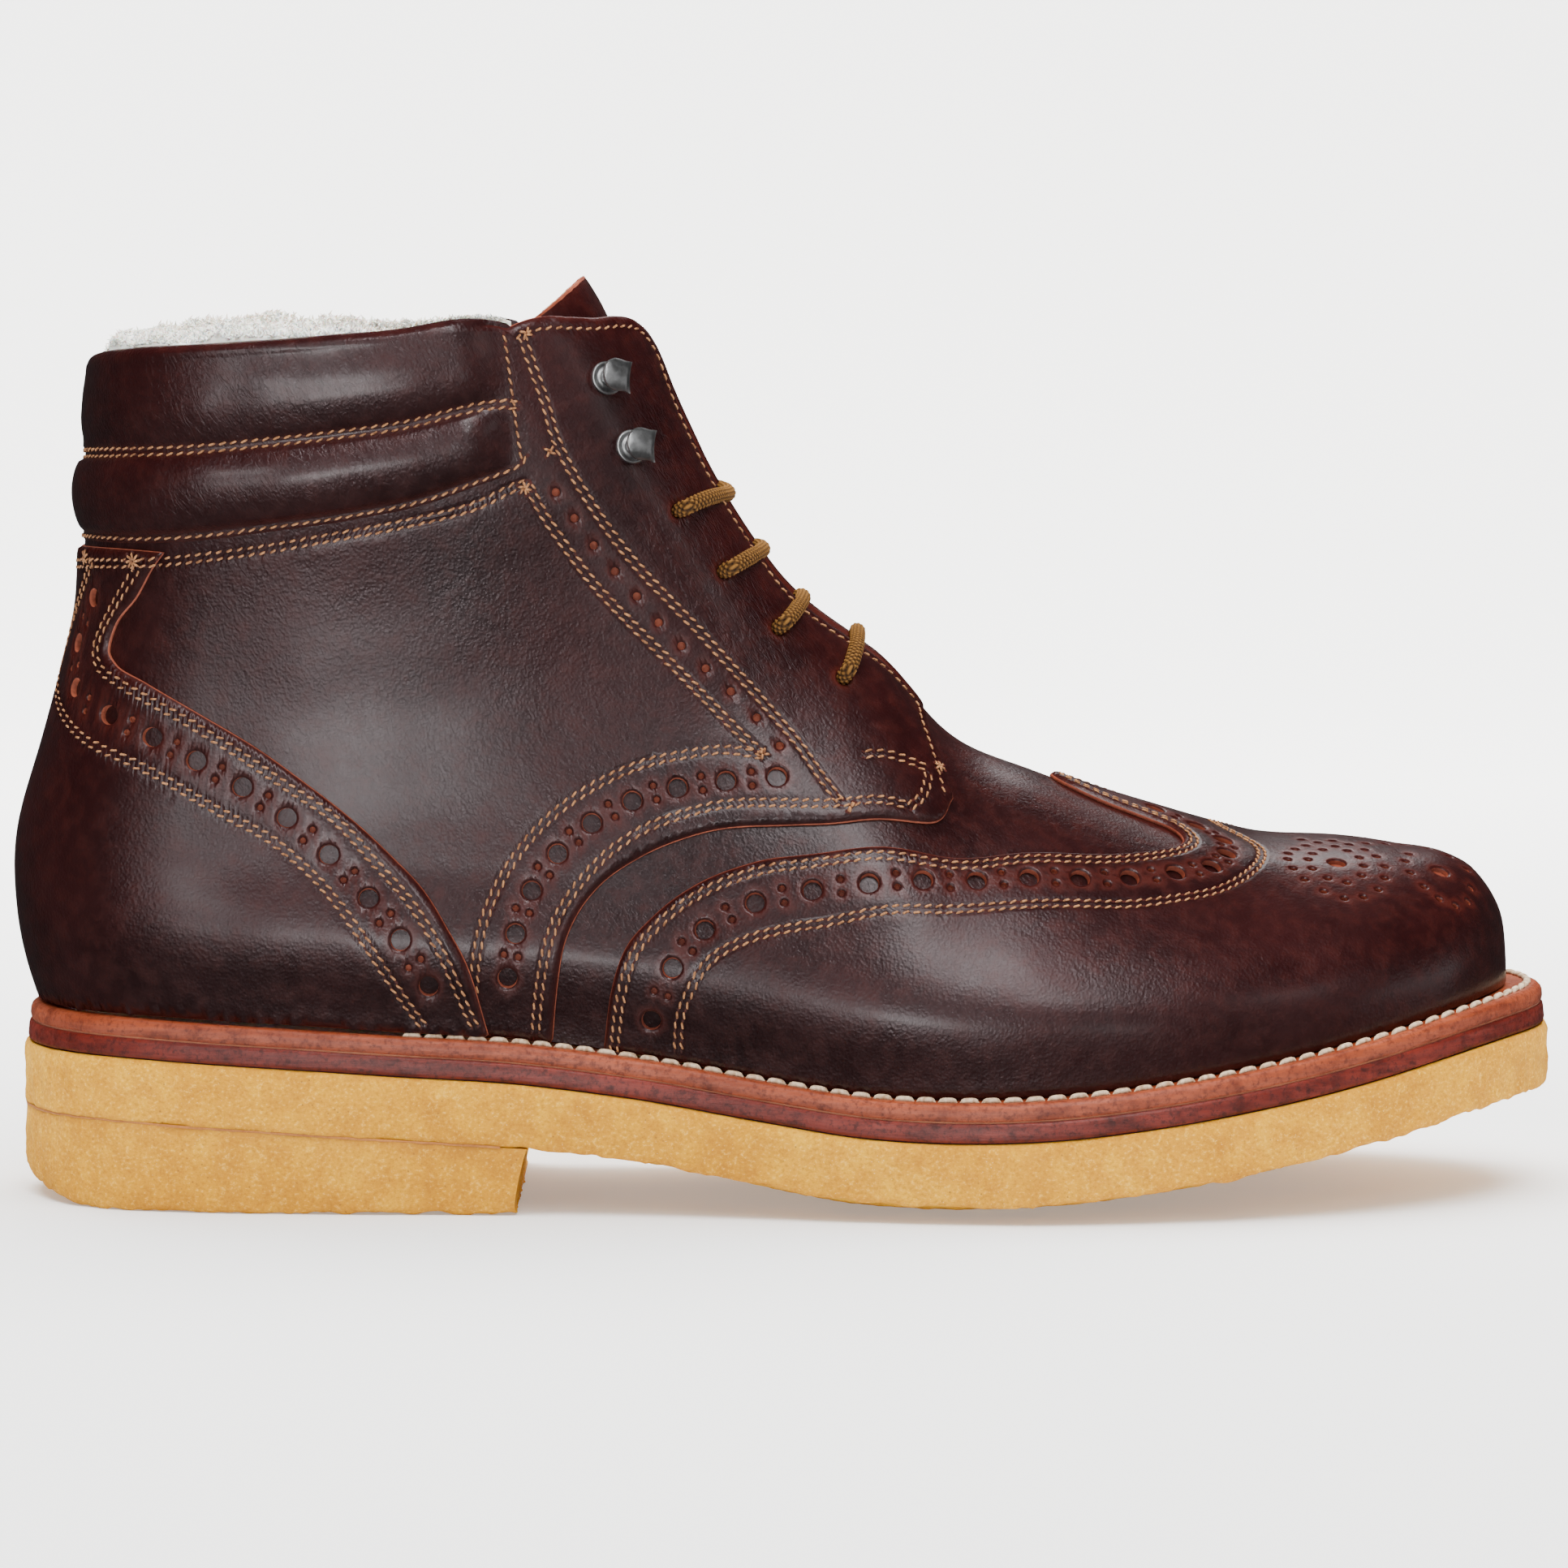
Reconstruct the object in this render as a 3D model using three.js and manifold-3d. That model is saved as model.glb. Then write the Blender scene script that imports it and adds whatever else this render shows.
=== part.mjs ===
// Lace-up wing-tip ankle boot for the right foot: crepe sole and heel, leather midsole and welt,
// hollow leather upper with stitched-on overlays, padded collar, tongue, laces and speed hooks.
// Millimetres. +X runs to the toe, +Y to the medial side, +Z up, and the boot stands on z = 0.
import * as THREE from 'three';
import { mergeVertices } from 'three/addons/utils/BufferGeometryUtils.js';
import Module from 'manifold-3d';

const wasm = await Module();
wasm.setup();

// Driving sizes of the sole.
const SOLE_LENGTH = 312;
const BALL_WIDTH = 110;
const CREPE_AT_BALL = 15.9;
const CREPE_EDGE = 12.6;
const CREPE_CROWN = 3.7;
const HEEL_RISE = 15;
const TOE_SPRING = 17;
const HEEL_LENGTH = 101;
const HEEL_BEVEL = 5;
const MIDSOLE_THICKNESS = 3.8;
const WELT_THICKNESS = 3.6;
const WELT_INSET = 1.2;
const MIDSOLE_INSET = 0.7;
const INSOLE_THICKNESS = 3;

// Driving sizes of the upper. The last is the shape that the leather is drawn over.
const LAST_START = 0.0199 * SOLE_LENGTH;
const LAST_LENGTH = 0.947 * SOLE_LENGTH;
const LAST_WIDTH = 0.8545 * BALL_WIDTH;
const UPPER_HEIGHT = 140;
const SIDE_BULGE = 2.4;
const WALL = 2.4;
const OVERLAY = 1.3;
const PAD_EDGE = 0.9;
const PAD_DEPTH = 2.7;
const CUFF_RISE = 2.4;
const TONGUE_WIDTH = 56;
const TONGUE_THICKNESS = 2;
const TONGUE_SET = 0.9;
const TONGUE_LEAN = 5.5;
const LACE_DIAMETER = 3.2;
const HOOK_DIAMETER = 6.8;
const HOOK_HEIGHT = 4.9;

// Gap between two pieces that are sewn or glued together on a real boot.
const GAP = 0.3;

// Plan outline: share of the length, then half width and centre as shares of the width.
const OUTLINE = [
  [0, 0, 0], [0.005, 0.098, 0], [0.02, 0.191, 0], [0.05, 0.279, -0.002], [0.1, 0.332, -0.005],
  [0.16, 0.355, -0.009], [0.22, 0.362, -0.013], [0.3, 0.356, -0.026], [0.38, 0.349, -0.048],
  [0.45, 0.362, -0.062], [0.52, 0.396, -0.067], [0.6, 0.447, -0.056], [0.66, 0.482, -0.032],
  [0.72, 0.5, 0], [0.78, 0.498, 0.032], [0.84, 0.466, 0.06], [0.9, 0.4, 0.083],
  [0.95, 0.306, 0.1], [0.98, 0.202, 0.112], [0.995, 0.102, 0.116], [1, 0, 0.117],
];

// Side view of the sole: share of the last's length, then share of HEEL_RISE or of TOE_SPRING.
const HEEL_CURVE = [
  [-0.03, 1], [0, 1], [0.05, 0.987], [0.11, 0.927], [0.17, 0.867], [0.25, 0.773], [0.32, 0.693],
  [0.365, 0.6], [0.41, 0.487], [0.46, 0.327], [0.51, 0.173], [0.55, 0.067], [0.6, 0.01],
  [0.64, 0], [0.7, 0],
];
const TOE_CURVE = [
  [0.5, 0], [0.6, 0], [0.64, 0.01], [0.69, 0.053], [0.745, 0.153], [0.82, 0.347], [0.89, 0.576],
  [0.925, 0.712], [0.955, 0.835], [0.98, 0.924], [1.01, 0.994], [1.04, 1],
];

// Crown line of the last: share of its length, height share of UPPER_HEIGHT above the welt,
// and its sideways place as a share of the last's width.
const CROWN = [
  [0, 1.465, 0], [0.182, 1.452, 0], [0.267, 1.391, 0], [0.328, 1.278, 0], [0.405, 1.05, 0.007],
  [0.453, 0.877, 0.012], [0.507, 0.72, 0.017], [0.568, 0.617, 0.023], [0.597, 0.55, 0.026],
  [0.615, 0.51, 0.028], [0.662, 0.458, 0.036], [0.721, 0.4, 0.062], [0.777, 0.346, 0.103],
  [0.837, 0.292, 0.16], [0.888, 0.26, 0.188], [0.915, 0.239, 0.192], [0.943, 0.211, 0.184],
  [0.964, 0.185, 0.17], [0.98, 0.156, 0.153], [0.992, 0.12, 0.135], [0.998, 0.079, 0.124],
  [1, 0, 0.117],
];

// How full the cross-section is: share of the last's length, exponent of the section curve.
const FULLNESS = [
  [0, 2.5], [0.32, 2.5], [0.45, 2.3], [0.57, 2.05], [0.67, 1.95], [0.76, 1.95], [0.825, 2],
  [0.91, 2.15], [0.967, 2.3], [1, 2.35],
];

// Heel and shaft: height share of UPPER_HEIGHT above the heel seat, back edge as a share of the
// last's length, and girth against the plan outline.
const SHAFT = [
  [-0.06, 0.0081, 1], [0, 0.0007, 1], [0.05, -0.0068, 1], [0.1, -0.0122, 1],
  [0.16, -0.0151, 0.995], [0.22, -0.0152, 0.982], [0.28, -0.0105, 0.965], [0.36, 0.0007, 0.955],
  [0.45, 0.0125, 0.955], [0.52, 0.0213, 0.97], [0.58, 0.0271, 0.99], [0.64, 0.0291, 1.02],
  [0.72, 0.03, 1.07], [0.82, 0.0308, 1.12], [0.92, 0.034, 1.17], [1.02, 0.037, 1.22],
  [1.48, 0.04, 1.3],
];

// Pattern lines on the lateral side: share of the last's length, then rise share, which is 0 at
// the welt and 1 on the crown line. The medial side is their mirror image.
const COLLAR_LINE = [
  [0, 0.436], [0.03, 0.441], [0.0935, 0.45], [0.1891, 0.473], [0.2481, 0.499], [0.3164, 0.563],
  [0.3553, 0.648],
];
const FACING_CORNER = [[0.3553, 0.648], [0.3888, 0.772], [0.4018, 0.835], [0.412, 0.862]];
const THROAT_LINE = [
  [0.412, 0.862], [0.44, 0.838], [0.49, 0.824], [0.5187, 0.82], [0.5522, 0.838], [0.58, 0.885],
  [0.5961, 0.88], [0.6017, 0.79], [0.6091, 0.7], [0.6173, 0.605],
];
const QUARTER_LINE = [
  [0.6173, 0.605], [0.604, 0.505], [0.5477, 0.393], [0.5096, 0.339], [0.471, 0.28],
  [0.4318, 0.215], [0.4056, 0.174], [0.3794, 0.134], [0.3636, 0.103], [0.355, 0.077],
  [0.3508, 0.049], [0.3466, 0],
];
const WING_LINE = [
  [0.382, 0], [0.3876, 0.053], [0.3967, 0.09], [0.4162, 0.13], [0.4452, 0.185], [0.4713, 0.232],
  [0.4968, 0.276], [0.5359, 0.331], [0.5875, 0.407], [0.6582, 0.515], [0.7215, 0.583],
  [0.7514, 0.632], [0.7698, 0.68], [0.7772, 0.731], [0.774, 0.788], [0.7659, 0.821],
  [0.7481, 0.85], [0.722, 0.885], [0.6951, 0.94], [0.689, 1],
];
const COUNTER_LINE = [
  [0.0636, 0.297], [0.0556, 0.286], [0.0447, 0.265], [0.0318, 0.244], [0.0305, 0.229],
  [0.0376, 0.219], [0.0636, 0.208], [0.105, 0.192], [0.1456, 0.175], [0.177, 0.158],
  [0.2089, 0.138], [0.2348, 0.118], [0.2587, 0.096], [0.2758, 0.073], [0.2908, 0.049],
  [0.3052, 0],
];
const PAD_LINE = [
  [0, 0.304], [0.0599, 0.306], [0.1333, 0.32], [0.2172, 0.344], [0.2685, 0.373],
  [0.3233, 0.437], [0.3317, 0.462],
];

// Lower edge of the slot in the vamp, under the facings.
const VAMP_SLOT = [
  [0.3164, 0.558], [0.3553, 0.635], [0.3888, 0.755], [0.4018, 0.808], [0.412, 0.822],
  [0.44, 0.815], [0.49, 0.8], [0.5187, 0.795], [0.5522, 0.812], [0.58, 0.86], [0.595, 0.93],
  [0.603, 1],
];

// Laces and hooks: share of the last's length and rise share at the lateral eyelet or hook, and
// share of the length where the lace crosses the crown line.
const LACE_BARS = [[0.4298, 0.602, 0.463], [0.4604, 0.616, 0.489], [0.4973, 0.646, 0.52], [0.542, 0.662, 0.552]];
const HOOKS = [[0.3812, 0.639], [0.3985, 0.593]];

// Mesh densities. All pieces of the upper share one net of stations and rise angles, so that
// their flat facets lie parallel, one over the other.
const NET_COLUMNS = 32;
const NET_ROWS = 13;
const SOLE_COLUMNS = 34;
const ROLL_STEPS = 10;

// Rise angle of the net's first line, just above the welt, and station of the back seam's edge.
const LIFT = 0.0045;
const BACK_SEAM = 0.004;

// Natural cubic spline through the rows of a table.
function spline(xs, ys) {
  const n = xs.length;
  const second = new Array(n).fill(0);
  const work = new Array(n).fill(0);
  for (let i = 1; i < n - 1; i++) {
    const before = xs[i] - xs[i - 1];
    const after = xs[i + 1] - xs[i];
    const bend = (ys[i + 1] - ys[i]) / after - (ys[i] - ys[i - 1]) / before;
    const pivot = 2 * (before + after) - before * second[i - 1];
    second[i] = after / pivot;
    work[i] = (6 * bend - before * work[i - 1]) / pivot;
  }
  const moment = new Array(n).fill(0);
  for (let i = n - 2; i > 0; i--) moment[i] = work[i] - second[i] * moment[i + 1];
  return (at) => {
    const q = Math.min(Math.max(at, xs[0]), xs[n - 1]);
    let i = 0;
    while (i < n - 2 && q > xs[i + 1]) i++;
    const h = xs[i + 1] - xs[i];
    const a = (xs[i + 1] - q) / h;
    const b = (q - xs[i]) / h;
    const curved = (a ** 3 - a) * moment[i] + (b ** 3 - b) * moment[i + 1];
    return a * ys[i] + b * ys[i + 1] + (curved * h * h) / 6;
  };
}

// A station is the angle whose cosine gives the share of the length, so stations crowd together
// at the rounded heel and toe.
const station = (share) => Math.acos(Math.min(1, Math.max(-1, 1 - 2 * share)));
const shareAt = (t) => (1 - Math.cos(t)) / 2;
const column = (table, k) => table.map((row) => row[k]);
const byShare = (table, k) => spline(column(table, 0), column(table, k));
const byStation = (table, k) => spline(column(table, 0).map(station), column(table, k));

const halfWidth = byStation(OUTLINE, 1);
const centre = byStation(OUTLINE, 2);
const heelCurve = byShare(HEEL_CURVE, 1);
const toeCurve = byShare(TOE_CURVE, 1);
const crownHeight = byStation(CROWN, 1);
const crownSide = byStation(CROWN, 2);
const fullness = byStation(FULLNESS, 1);
const backEdge = byShare(SHAFT, 1);
const girth = byShare(SHAFT, 2);

function smooth(from, to, value) {
  const u = Math.min(1, Math.max(0, (value - from) / (to - from)));
  return u * u * (3 - 2 * u);
}

function crepeTop(x) {
  const share = (x - LAST_START) / LAST_LENGTH;
  const heel = share < 0.64 ? heelCurve(share) : 0;
  const toe = share > 0.6 ? toeCurve(share) : 0;
  return CREPE_AT_BALL + HEEL_RISE * heel + TOE_SPRING * toe;
}

const STACK = MIDSOLE_THICKNESS + WELT_THICKNESS + 2 * GAP;
const welt = (x) => crepeTop(x) + STACK;
const HEEL_SEAT = welt(LAST_START);

// A point of the last's surface. t is the station, negative on the medial side of the heel, and
// p is the rise angle: 0 at the lateral welt, pi / 2 on the crown line, pi at the medial welt.
function lastPoint(tSigned, p) {
  const over = p > Math.PI / 2;
  const side = (over ? 1 : -1) * (tSigned < 0 ? -1 : 1);
  const rise = over ? Math.PI - p : p;
  const t = Math.min(Math.abs(tSigned), Math.PI);
  const share = shareAt(t);
  const along = LAST_START + LAST_LENGTH * share;
  const base = welt(along);
  const up = Math.max(crownHeight(t), 0) * UPPER_HEIGHT * Math.sin(rise);
  const z = base + up;
  const level = (z - HEEL_SEAT) / UPPER_HEIGHT;
  const baseLevel = (base - HEEL_SEAT) / UPPER_HEIGHT;
  const near = Math.min(Math.max(share / 0.27, 0), 1);
  const fall = (1 - near) ** 2 * (1 + 2 * near);
  const x = along + (backEdge(level) - backEdge(baseLevel)) * LAST_LENGTH * fall;
  const ridge = crownSide(t) * LAST_WIDTH;
  const half = halfWidth(t) * LAST_WIDTH;
  const low = half + side * (centre(t) * LAST_WIDTH - ridge);
  const width = low + (half - low) * smooth(0.08, 0.51, level);
  const n = fullness(t);
  const across = Math.max(1 - Math.max(Math.sin(rise), 0) ** n, 0) ** (1 / n);
  const h = Math.min(Math.max(up / UPPER_HEIGHT / 0.243, 0), 1);
  const swell = Math.sin(Math.PI * h) ** 2 * Math.sin(t) * (1 - smooth(0.75, 1, Math.sin(rise)));
  const y = ridge + side * (width * girth(level) * across + SIDE_BULGE * swell);
  return new THREE.Vector3(x, y, z);
}

function lastNormal(t, p) {
  const e = 0.002;
  const a = Math.min(Math.max(t, 0.02 - Math.PI), Math.PI - 0.02);
  const b = Math.min(Math.max(p, 2 * e), Math.PI - 2 * e);
  const along = lastPoint(a + e, b).sub(lastPoint(a - e, b));
  const up = lastPoint(a, b + e).sub(lastPoint(a, b - e));
  return along.cross(up).normalize();
}

// A point at a distance outside the last, never lower than just above the welt. The crown line
// is always worked out on one side, so that both halves of a piece meet there exactly.
function onLast(t, p, distance) {
  const crown = Math.abs(p - Math.PI / 2) < 1e-7;
  const tt = crown ? Math.abs(t) : t;
  const place = lastPoint(tt, p).addScaledVector(lastNormal(tt, p), distance);
  place.z = Math.max(place.z, welt(place.x) + GAP);
  return place;
}

// Lines of the net. The rise lines lie closer together near the welt.
const netStation = (i) => (Math.PI * i) / NET_COLUMNS;
const RISE_LINES = [];
for (let j = 0; j <= 2 * NET_ROWS; j++) {
  const u = Math.min(j, 2 * NET_ROWS - j) / NET_ROWS;
  const rise = LIFT + (Math.PI / 2 - LIFT) * (0.74 * u + 0.26 * u * u);
  RISE_LINES.push(j > NET_ROWS ? Math.PI - rise : rise);
}
const netRise = (j) => RISE_LINES[j];

function netPoint(i, j, distance) {
  const pole = Math.abs(i) === NET_COLUMNS;
  return onLast(pole ? Math.PI : netStation(i), pole ? Math.PI / 2 : netRise(j), distance);
}

// A point of the faceted surface at a distance outside the last.
function onNet(t, p, distance) {
  const a = Math.min(Math.max((t * NET_COLUMNS) / Math.PI, -NET_COLUMNS), NET_COLUMNS);
  const i = Math.min(Math.floor(a), NET_COLUMNS - 1);
  let j = 0;
  while (j < 2 * NET_ROWS - 1 && p > RISE_LINES[j + 1]) j++;
  const step = (p - RISE_LINES[j]) / (RISE_LINES[j + 1] - RISE_LINES[j]);
  const [u, v] = [a - i, Math.min(Math.max(step, 0), 1)];
  const from = netPoint(i, j, distance);
  const to = netPoint(i + 1, j + 1, distance);
  const corner = u > v ? netPoint(i + 1, j, distance) : netPoint(i, j + 1, distance);
  const [low, high] = [Math.min(u, v), Math.max(u, v)];
  return from.multiplyScalar(1 - high).addScaledVector(corner, high - low).addScaledVector(to, low);
}

// The sole is narrowed by an inset all round.
function solePoint(t, q, inset) {
  const share = shareAt(t);
  const x = inset + (SOLE_LENGTH - 2 * inset) * share;
  const half = Math.max(halfWidth(t) * BALL_WIDTH - inset * Math.sin(t), 0);
  return [x, centre(t) * BALL_WIDTH + half * q];
}

// Turns triangles into a mesh: merges shared corners and drops triangles that closed up.
const group = new THREE.Group();

function addMesh(name, positions, look) {
  const raw = new THREE.BufferGeometry();
  raw.setAttribute('position', new THREE.Float32BufferAttribute(positions, 3));
  const merged = mergeVertices(raw, 2e-3);
  const index = merged.index.array;
  const kept = [];
  for (let i = 0; i < index.length; i += 3) {
    const [a, b, c] = [index[i], index[i + 1], index[i + 2]];
    if (a !== b && b !== c && a !== c) kept.push(a, b, c);
  }
  merged.setIndex(kept);
  merged.computeVertexNormals();
  const mesh = new THREE.Mesh(merged, new THREE.MeshStandardMaterial(look));
  mesh.name = name;
  group.add(mesh);
}

function pushTriangle(list, a, b, c) {
  list.push(a.x, a.y, a.z, b.x, b.y, b.z, c.x, c.y, c.z);
}

function pushQuad(list, a, b, c, d) {
  pushTriangle(list, a, b, c);
  pushTriangle(list, a, c, d);
}

// A solid between two grids of points of the same size. outer[i][j] is seen from outside with i
// running to the right and j running up. An edge where closed(i, j) holds has no wall.
function gridSolid(outer, inner, closed = () => false) {
  const list = [];
  const m = outer.length - 1;
  const n = outer[0].length - 1;
  for (let i = 0; i < m; i++) {
    for (let j = 0; j < n; j++) {
      pushQuad(list, outer[i][j], outer[i + 1][j], outer[i + 1][j + 1], outer[i][j + 1]);
      pushQuad(list, inner[i][j], inner[i][j + 1], inner[i + 1][j + 1], inner[i + 1][j]);
    }
  }
  for (let i = 0; i < m; i++) {
    pushQuad(list, outer[i + 1][0], outer[i][0], inner[i][0], inner[i + 1][0]);
    if (!closed(i)) pushQuad(list, outer[i][n], outer[i + 1][n], inner[i + 1][n], inner[i][n]);
  }
  for (let j = 0; j < n; j++) {
    pushQuad(list, outer[0][j], outer[0][j + 1], inner[0][j + 1], inner[0][j]);
    pushQuad(list, outer[m][j + 1], outer[m][j], inner[m][j], inner[m][j + 1]);
  }
  return list;
}

// Smooth line through pattern points, as stations and rise angles.
function patternLine(points, steps) {
  const nodes = points.map(([share, rise]) => new THREE.Vector3(station(share), (rise * Math.PI) / 2, 0));
  const curve = new THREE.CatmullRomCurve3(nodes, false, 'centripetal');
  return curve.getPoints(steps).map((v) => [v.x, v.y]);
}

const mirrored = (line) => line.map(([t, p]) => [t, Math.PI - p]).reverse();
const mirroredHeel = (line) => line.map(([t, p]) => [-t, p]).reverse();

// An overlay is cut as a flat pattern and then laid on the last. The flat sheet is bent very
// slightly, so that cutting it keeps all the points that the laying needs.
const SPREAD = 100;
const BEND = 1e-4;
const bent = (a, b) => BEND * (a * a + b * b);

function flatSolid(positions) {
  const raw = new THREE.BufferGeometry();
  raw.setAttribute('position', new THREE.Float32BufferAttribute(positions, 3));
  const merged = mergeVertices(raw, 1e-4);
  const numProp = 3;
  const vertProperties = new Float32Array(merged.attributes.position.array);
  const triVerts = new Uint32Array(merged.index.array);
  return new wasm.Manifold(new wasm.Mesh({ numProp, vertProperties, triVerts }));
}

function overlay(name, outline, [firstColumn, lastColumn, firstRow, lastRow], inside, outside, look) {
  const sheet = (depth) => {
    const grid = [];
    for (let i = firstColumn; i <= lastColumn; i++) {
      const line = [];
      for (let j = firstRow; j <= lastRow; j++) {
        const [a, b] = [SPREAD * netStation(i), SPREAD * netRise(j)];
        line.push(new THREE.Vector3(a, b, depth + bent(a, b)));
      }
      grid.push(line);
    }
    return grid;
  };
  const slab = flatSolid(gridSolid(sheet(outside), sheet(inside)));
  const flat = outline.map(([t, p]) => new THREE.Vector2(t * SPREAD, p * SPREAD));
  if (THREE.ShapeUtils.isClockWise(flat)) flat.reverse();
  const knife = new THREE.ExtrudeGeometry(new THREE.Shape(flat), { depth: 60, bevelEnabled: false });
  knife.translate(0, 0, -20);
  const cut = slab.intersect(flatSolid(knife.attributes.position.array));
  const { vertProperties: v, triVerts } = cut.getMesh();
  const list = [];
  for (const k of triVerts) {
    const [a, b, c] = [v[3 * k], v[3 * k + 1], v[3 * k + 2]];
    const depth = c - bent(a, b) > (inside + outside) / 2 ? outside : inside;
    const place = onNet(a / SPREAD, b / SPREAD, depth);
    list.push(place.x, place.y, place.z);
  }
  addMesh(name, list, look);
}

const LEATHER = { color: 0x3d1f1e, roughness: 0.38, metalness: 0 };
const LINING = { color: 0x4a2622, roughness: 0.5, metalness: 0 };
const CREPE = { color: 0xc9a24c, roughness: 0.85, metalness: 0 };
const VEG_TAN = { color: 0xa2603c, roughness: 0.6, metalness: 0 };
const RED_TAN = { color: 0x7c3526, roughness: 0.6, metalness: 0 };
const LACE = { color: 0x94652a, roughness: 0.9, metalness: 0 };
const NICKEL = { color: 0x6f6f70, roughness: 0.35, metalness: 1 };

// Sole pieces lie between a top and a bottom height over the plan outline.
function soleSolid(name, look, { to = Math.PI, columns = SOLE_COLUMNS, rows, topInset, lowInset, top, low }) {
  const lines = (inset, height) => {
    const grid = [];
    for (let i = 0; i <= columns; i++) {
      const t = (to * i) / columns;
      const line = [];
      for (let j = 0; j <= rows; j++) {
        const q = (2 * j) / rows - 1;
        const [x, y] = solePoint(t, q, inset);
        line.push(new THREE.Vector3(x, y, height(x, q)));
      }
      grid.push(line);
    }
    return grid;
  };
  addMesh(name, gridSolid(lines(topInset, top), lines(lowInset, low)), look);
}

// The crepe is crowned across the forepart, so only its middle touches the floor.
function crepeBottom(x, q) {
  const share = x / SOLE_LENGTH;
  const fore = smooth(0.33, 0.55, share) * (1 - smooth(0.7, 1, share));
  const crown = CREPE_CROWN * fore * (1 - Math.abs(q) ** 3);
  return Math.max(crepeTop(x) - CREPE_EDGE - crown, 0);
}

const breast = station(HEEL_LENGTH / SOLE_LENGTH);
const heelTop = (x) => crepeTop(x) - CREPE_EDGE - GAP;
const heelBottom = (x) => {
  const back = Math.max(0, 1 - x / (0.06 * SOLE_LENGTH));
  return HEEL_BEVEL * back * back;
};

soleSolid('heel', CREPE, { to: breast, columns: 18, rows: 2, topInset: 0, lowInset: 0.4, top: heelTop, low: heelBottom });
soleSolid('outsole', CREPE, { rows: 6, topInset: 0.4, lowInset: 0, top: crepeTop, low: crepeBottom });
soleSolid('midsole', RED_TAN, {
  rows: 2, topInset: WELT_INSET, lowInset: MIDSOLE_INSET,
  top: (x) => crepeTop(x) + GAP + MIDSOLE_THICKNESS, low: (x) => crepeTop(x) + GAP,
});
soleSolid('welt', VEG_TAN, {
  rows: 2, topInset: WELT_INSET + 0.5, lowInset: WELT_INSET,
  top: welt, low: (x) => welt(x) - WELT_THICKNESS,
});

// The insole fills the floor of the upper.
function insole() {
  const lines = (lift) => {
    const grid = [];
    for (let i = 0; i <= SOLE_COLUMNS; i++) {
      const t = (Math.PI * i) / SOLE_COLUMNS;
      const inset = WALL + 4 * GAP;
      const x = LAST_START + inset + (LAST_LENGTH - 2 * inset) * shareAt(t);
      const half = Math.max(halfWidth(t) * LAST_WIDTH - inset * Math.sin(t) ** 0.5, 0);
      const line = [];
      for (let j = 0; j <= 2; j++) {
        const y = centre(t) * LAST_WIDTH + half * (j - 1);
        line.push(new THREE.Vector3(x, y, welt(x) + lift));
      }
      grid.push(line);
    }
    return grid;
  };
  addMesh('insole', gridSolid(lines(GAP + INSOLE_THICKNESS), lines(GAP)), VEG_TAN);
}
insole();

// Height of a line of the pattern at a station.
function lineHeight(points) {
  const line = patternLine(points, 16 * points.length);
  return (t) => {
    let i = 1;
    while (i < line.length - 1 && line[i][0] < t) i++;
    const [a, b] = [line[i - 1], line[i]];
    const u = Math.min(1, Math.max(0, (t - a[0]) / (b[0] - a[0] || 1)));
    return a[1] + (b[1] - a[1]) * u;
  };
}

// The vamp and its lining are one hollow shell, open at the collar, the throat and the sole.
function upper() {
  const rim = COLLAR_LINE.slice(0, 5).map(([share, rise]) => [share, rise - 0.005]);
  const edge = lineHeight([...rim, ...VAMP_SLOT]);
  const throat = Math.round((station(VAMP_SLOT[VAMP_SLOT.length - 1][0]) * NET_COLUMNS) / Math.PI);
  const grid = (distance) => {
    const lines = [];
    for (let i = -NET_COLUMNS; i <= NET_COLUMNS; i++) {
      const top = Math.abs(i) >= throat ? Math.PI / 2 : edge(Math.abs(netStation(i)));
      const line = [];
      for (let j = 0; j <= NET_ROWS; j++) line.push(onNet(netStation(i), Math.min(netRise(j), top), distance));
      lines.push(line);
    }
    return lines;
  };
  const shut = (i) => Math.min(Math.abs(i - NET_COLUMNS), Math.abs(i + 1 - NET_COLUMNS)) >= throat;
  addMesh('upper', gridSolid(grid(0), grid(-WALL), shut), LINING);
}
upper();

// Overlays: wing tip over the vamp, quarters with the facings, counter over the quarters.
const FIRST = [GAP, GAP + OVERLAY];
const SECOND = [2 * GAP + OVERLAY, 2 * GAP + 2 * OVERLAY];
const BELOW = -0.2;
const BEYOND = Math.PI + 0.2;

const wing = patternLine(WING_LINE, 60);
const wingOutline = [
  [BEYOND, BELOW], [wing[0][0], BELOW], ...wing, ...mirrored(wing).slice(1),
  [wing[0][0], BEYOND], [BEYOND, BEYOND],
];
overlay('wing_tip', wingOutline, [12, NET_COLUMNS, 0, 2 * NET_ROWS], ...FIRST, LEATHER);

const quarterFront = [
  ...patternLine(QUARTER_LINE, 40).reverse(), ...patternLine(THROAT_LINE, 36).reverse().slice(1),
];
const quarterTop = [...patternLine(COLLAR_LINE, 14), ...patternLine(FACING_CORNER, 10).slice(1)];
const quarterOutline = [
  [BACK_SEAM, BELOW], [quarterFront[0][0], BELOW], ...quarterFront,
  ...quarterTop.reverse().slice(1, -1), [BACK_SEAM, quarterTop[quarterTop.length - 1][1]],
];
overlay('quarter_lateral', quarterOutline, [0, 20, 0, NET_ROWS], ...FIRST, LEATHER);
overlay('quarter_medial', mirrored(quarterOutline), [0, 20, NET_ROWS, 2 * NET_ROWS], ...FIRST, LEATHER);

const counter = patternLine(COUNTER_LINE, 44).reverse();
const counterOutline = [
  [-counter[0][0], BELOW], [counter[0][0], BELOW], ...counter, ...mirroredHeel(counter),
];
overlay('heel_counter', counterOutline, [-13, 13, 0, 7], ...SECOND, LEATHER);

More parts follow.
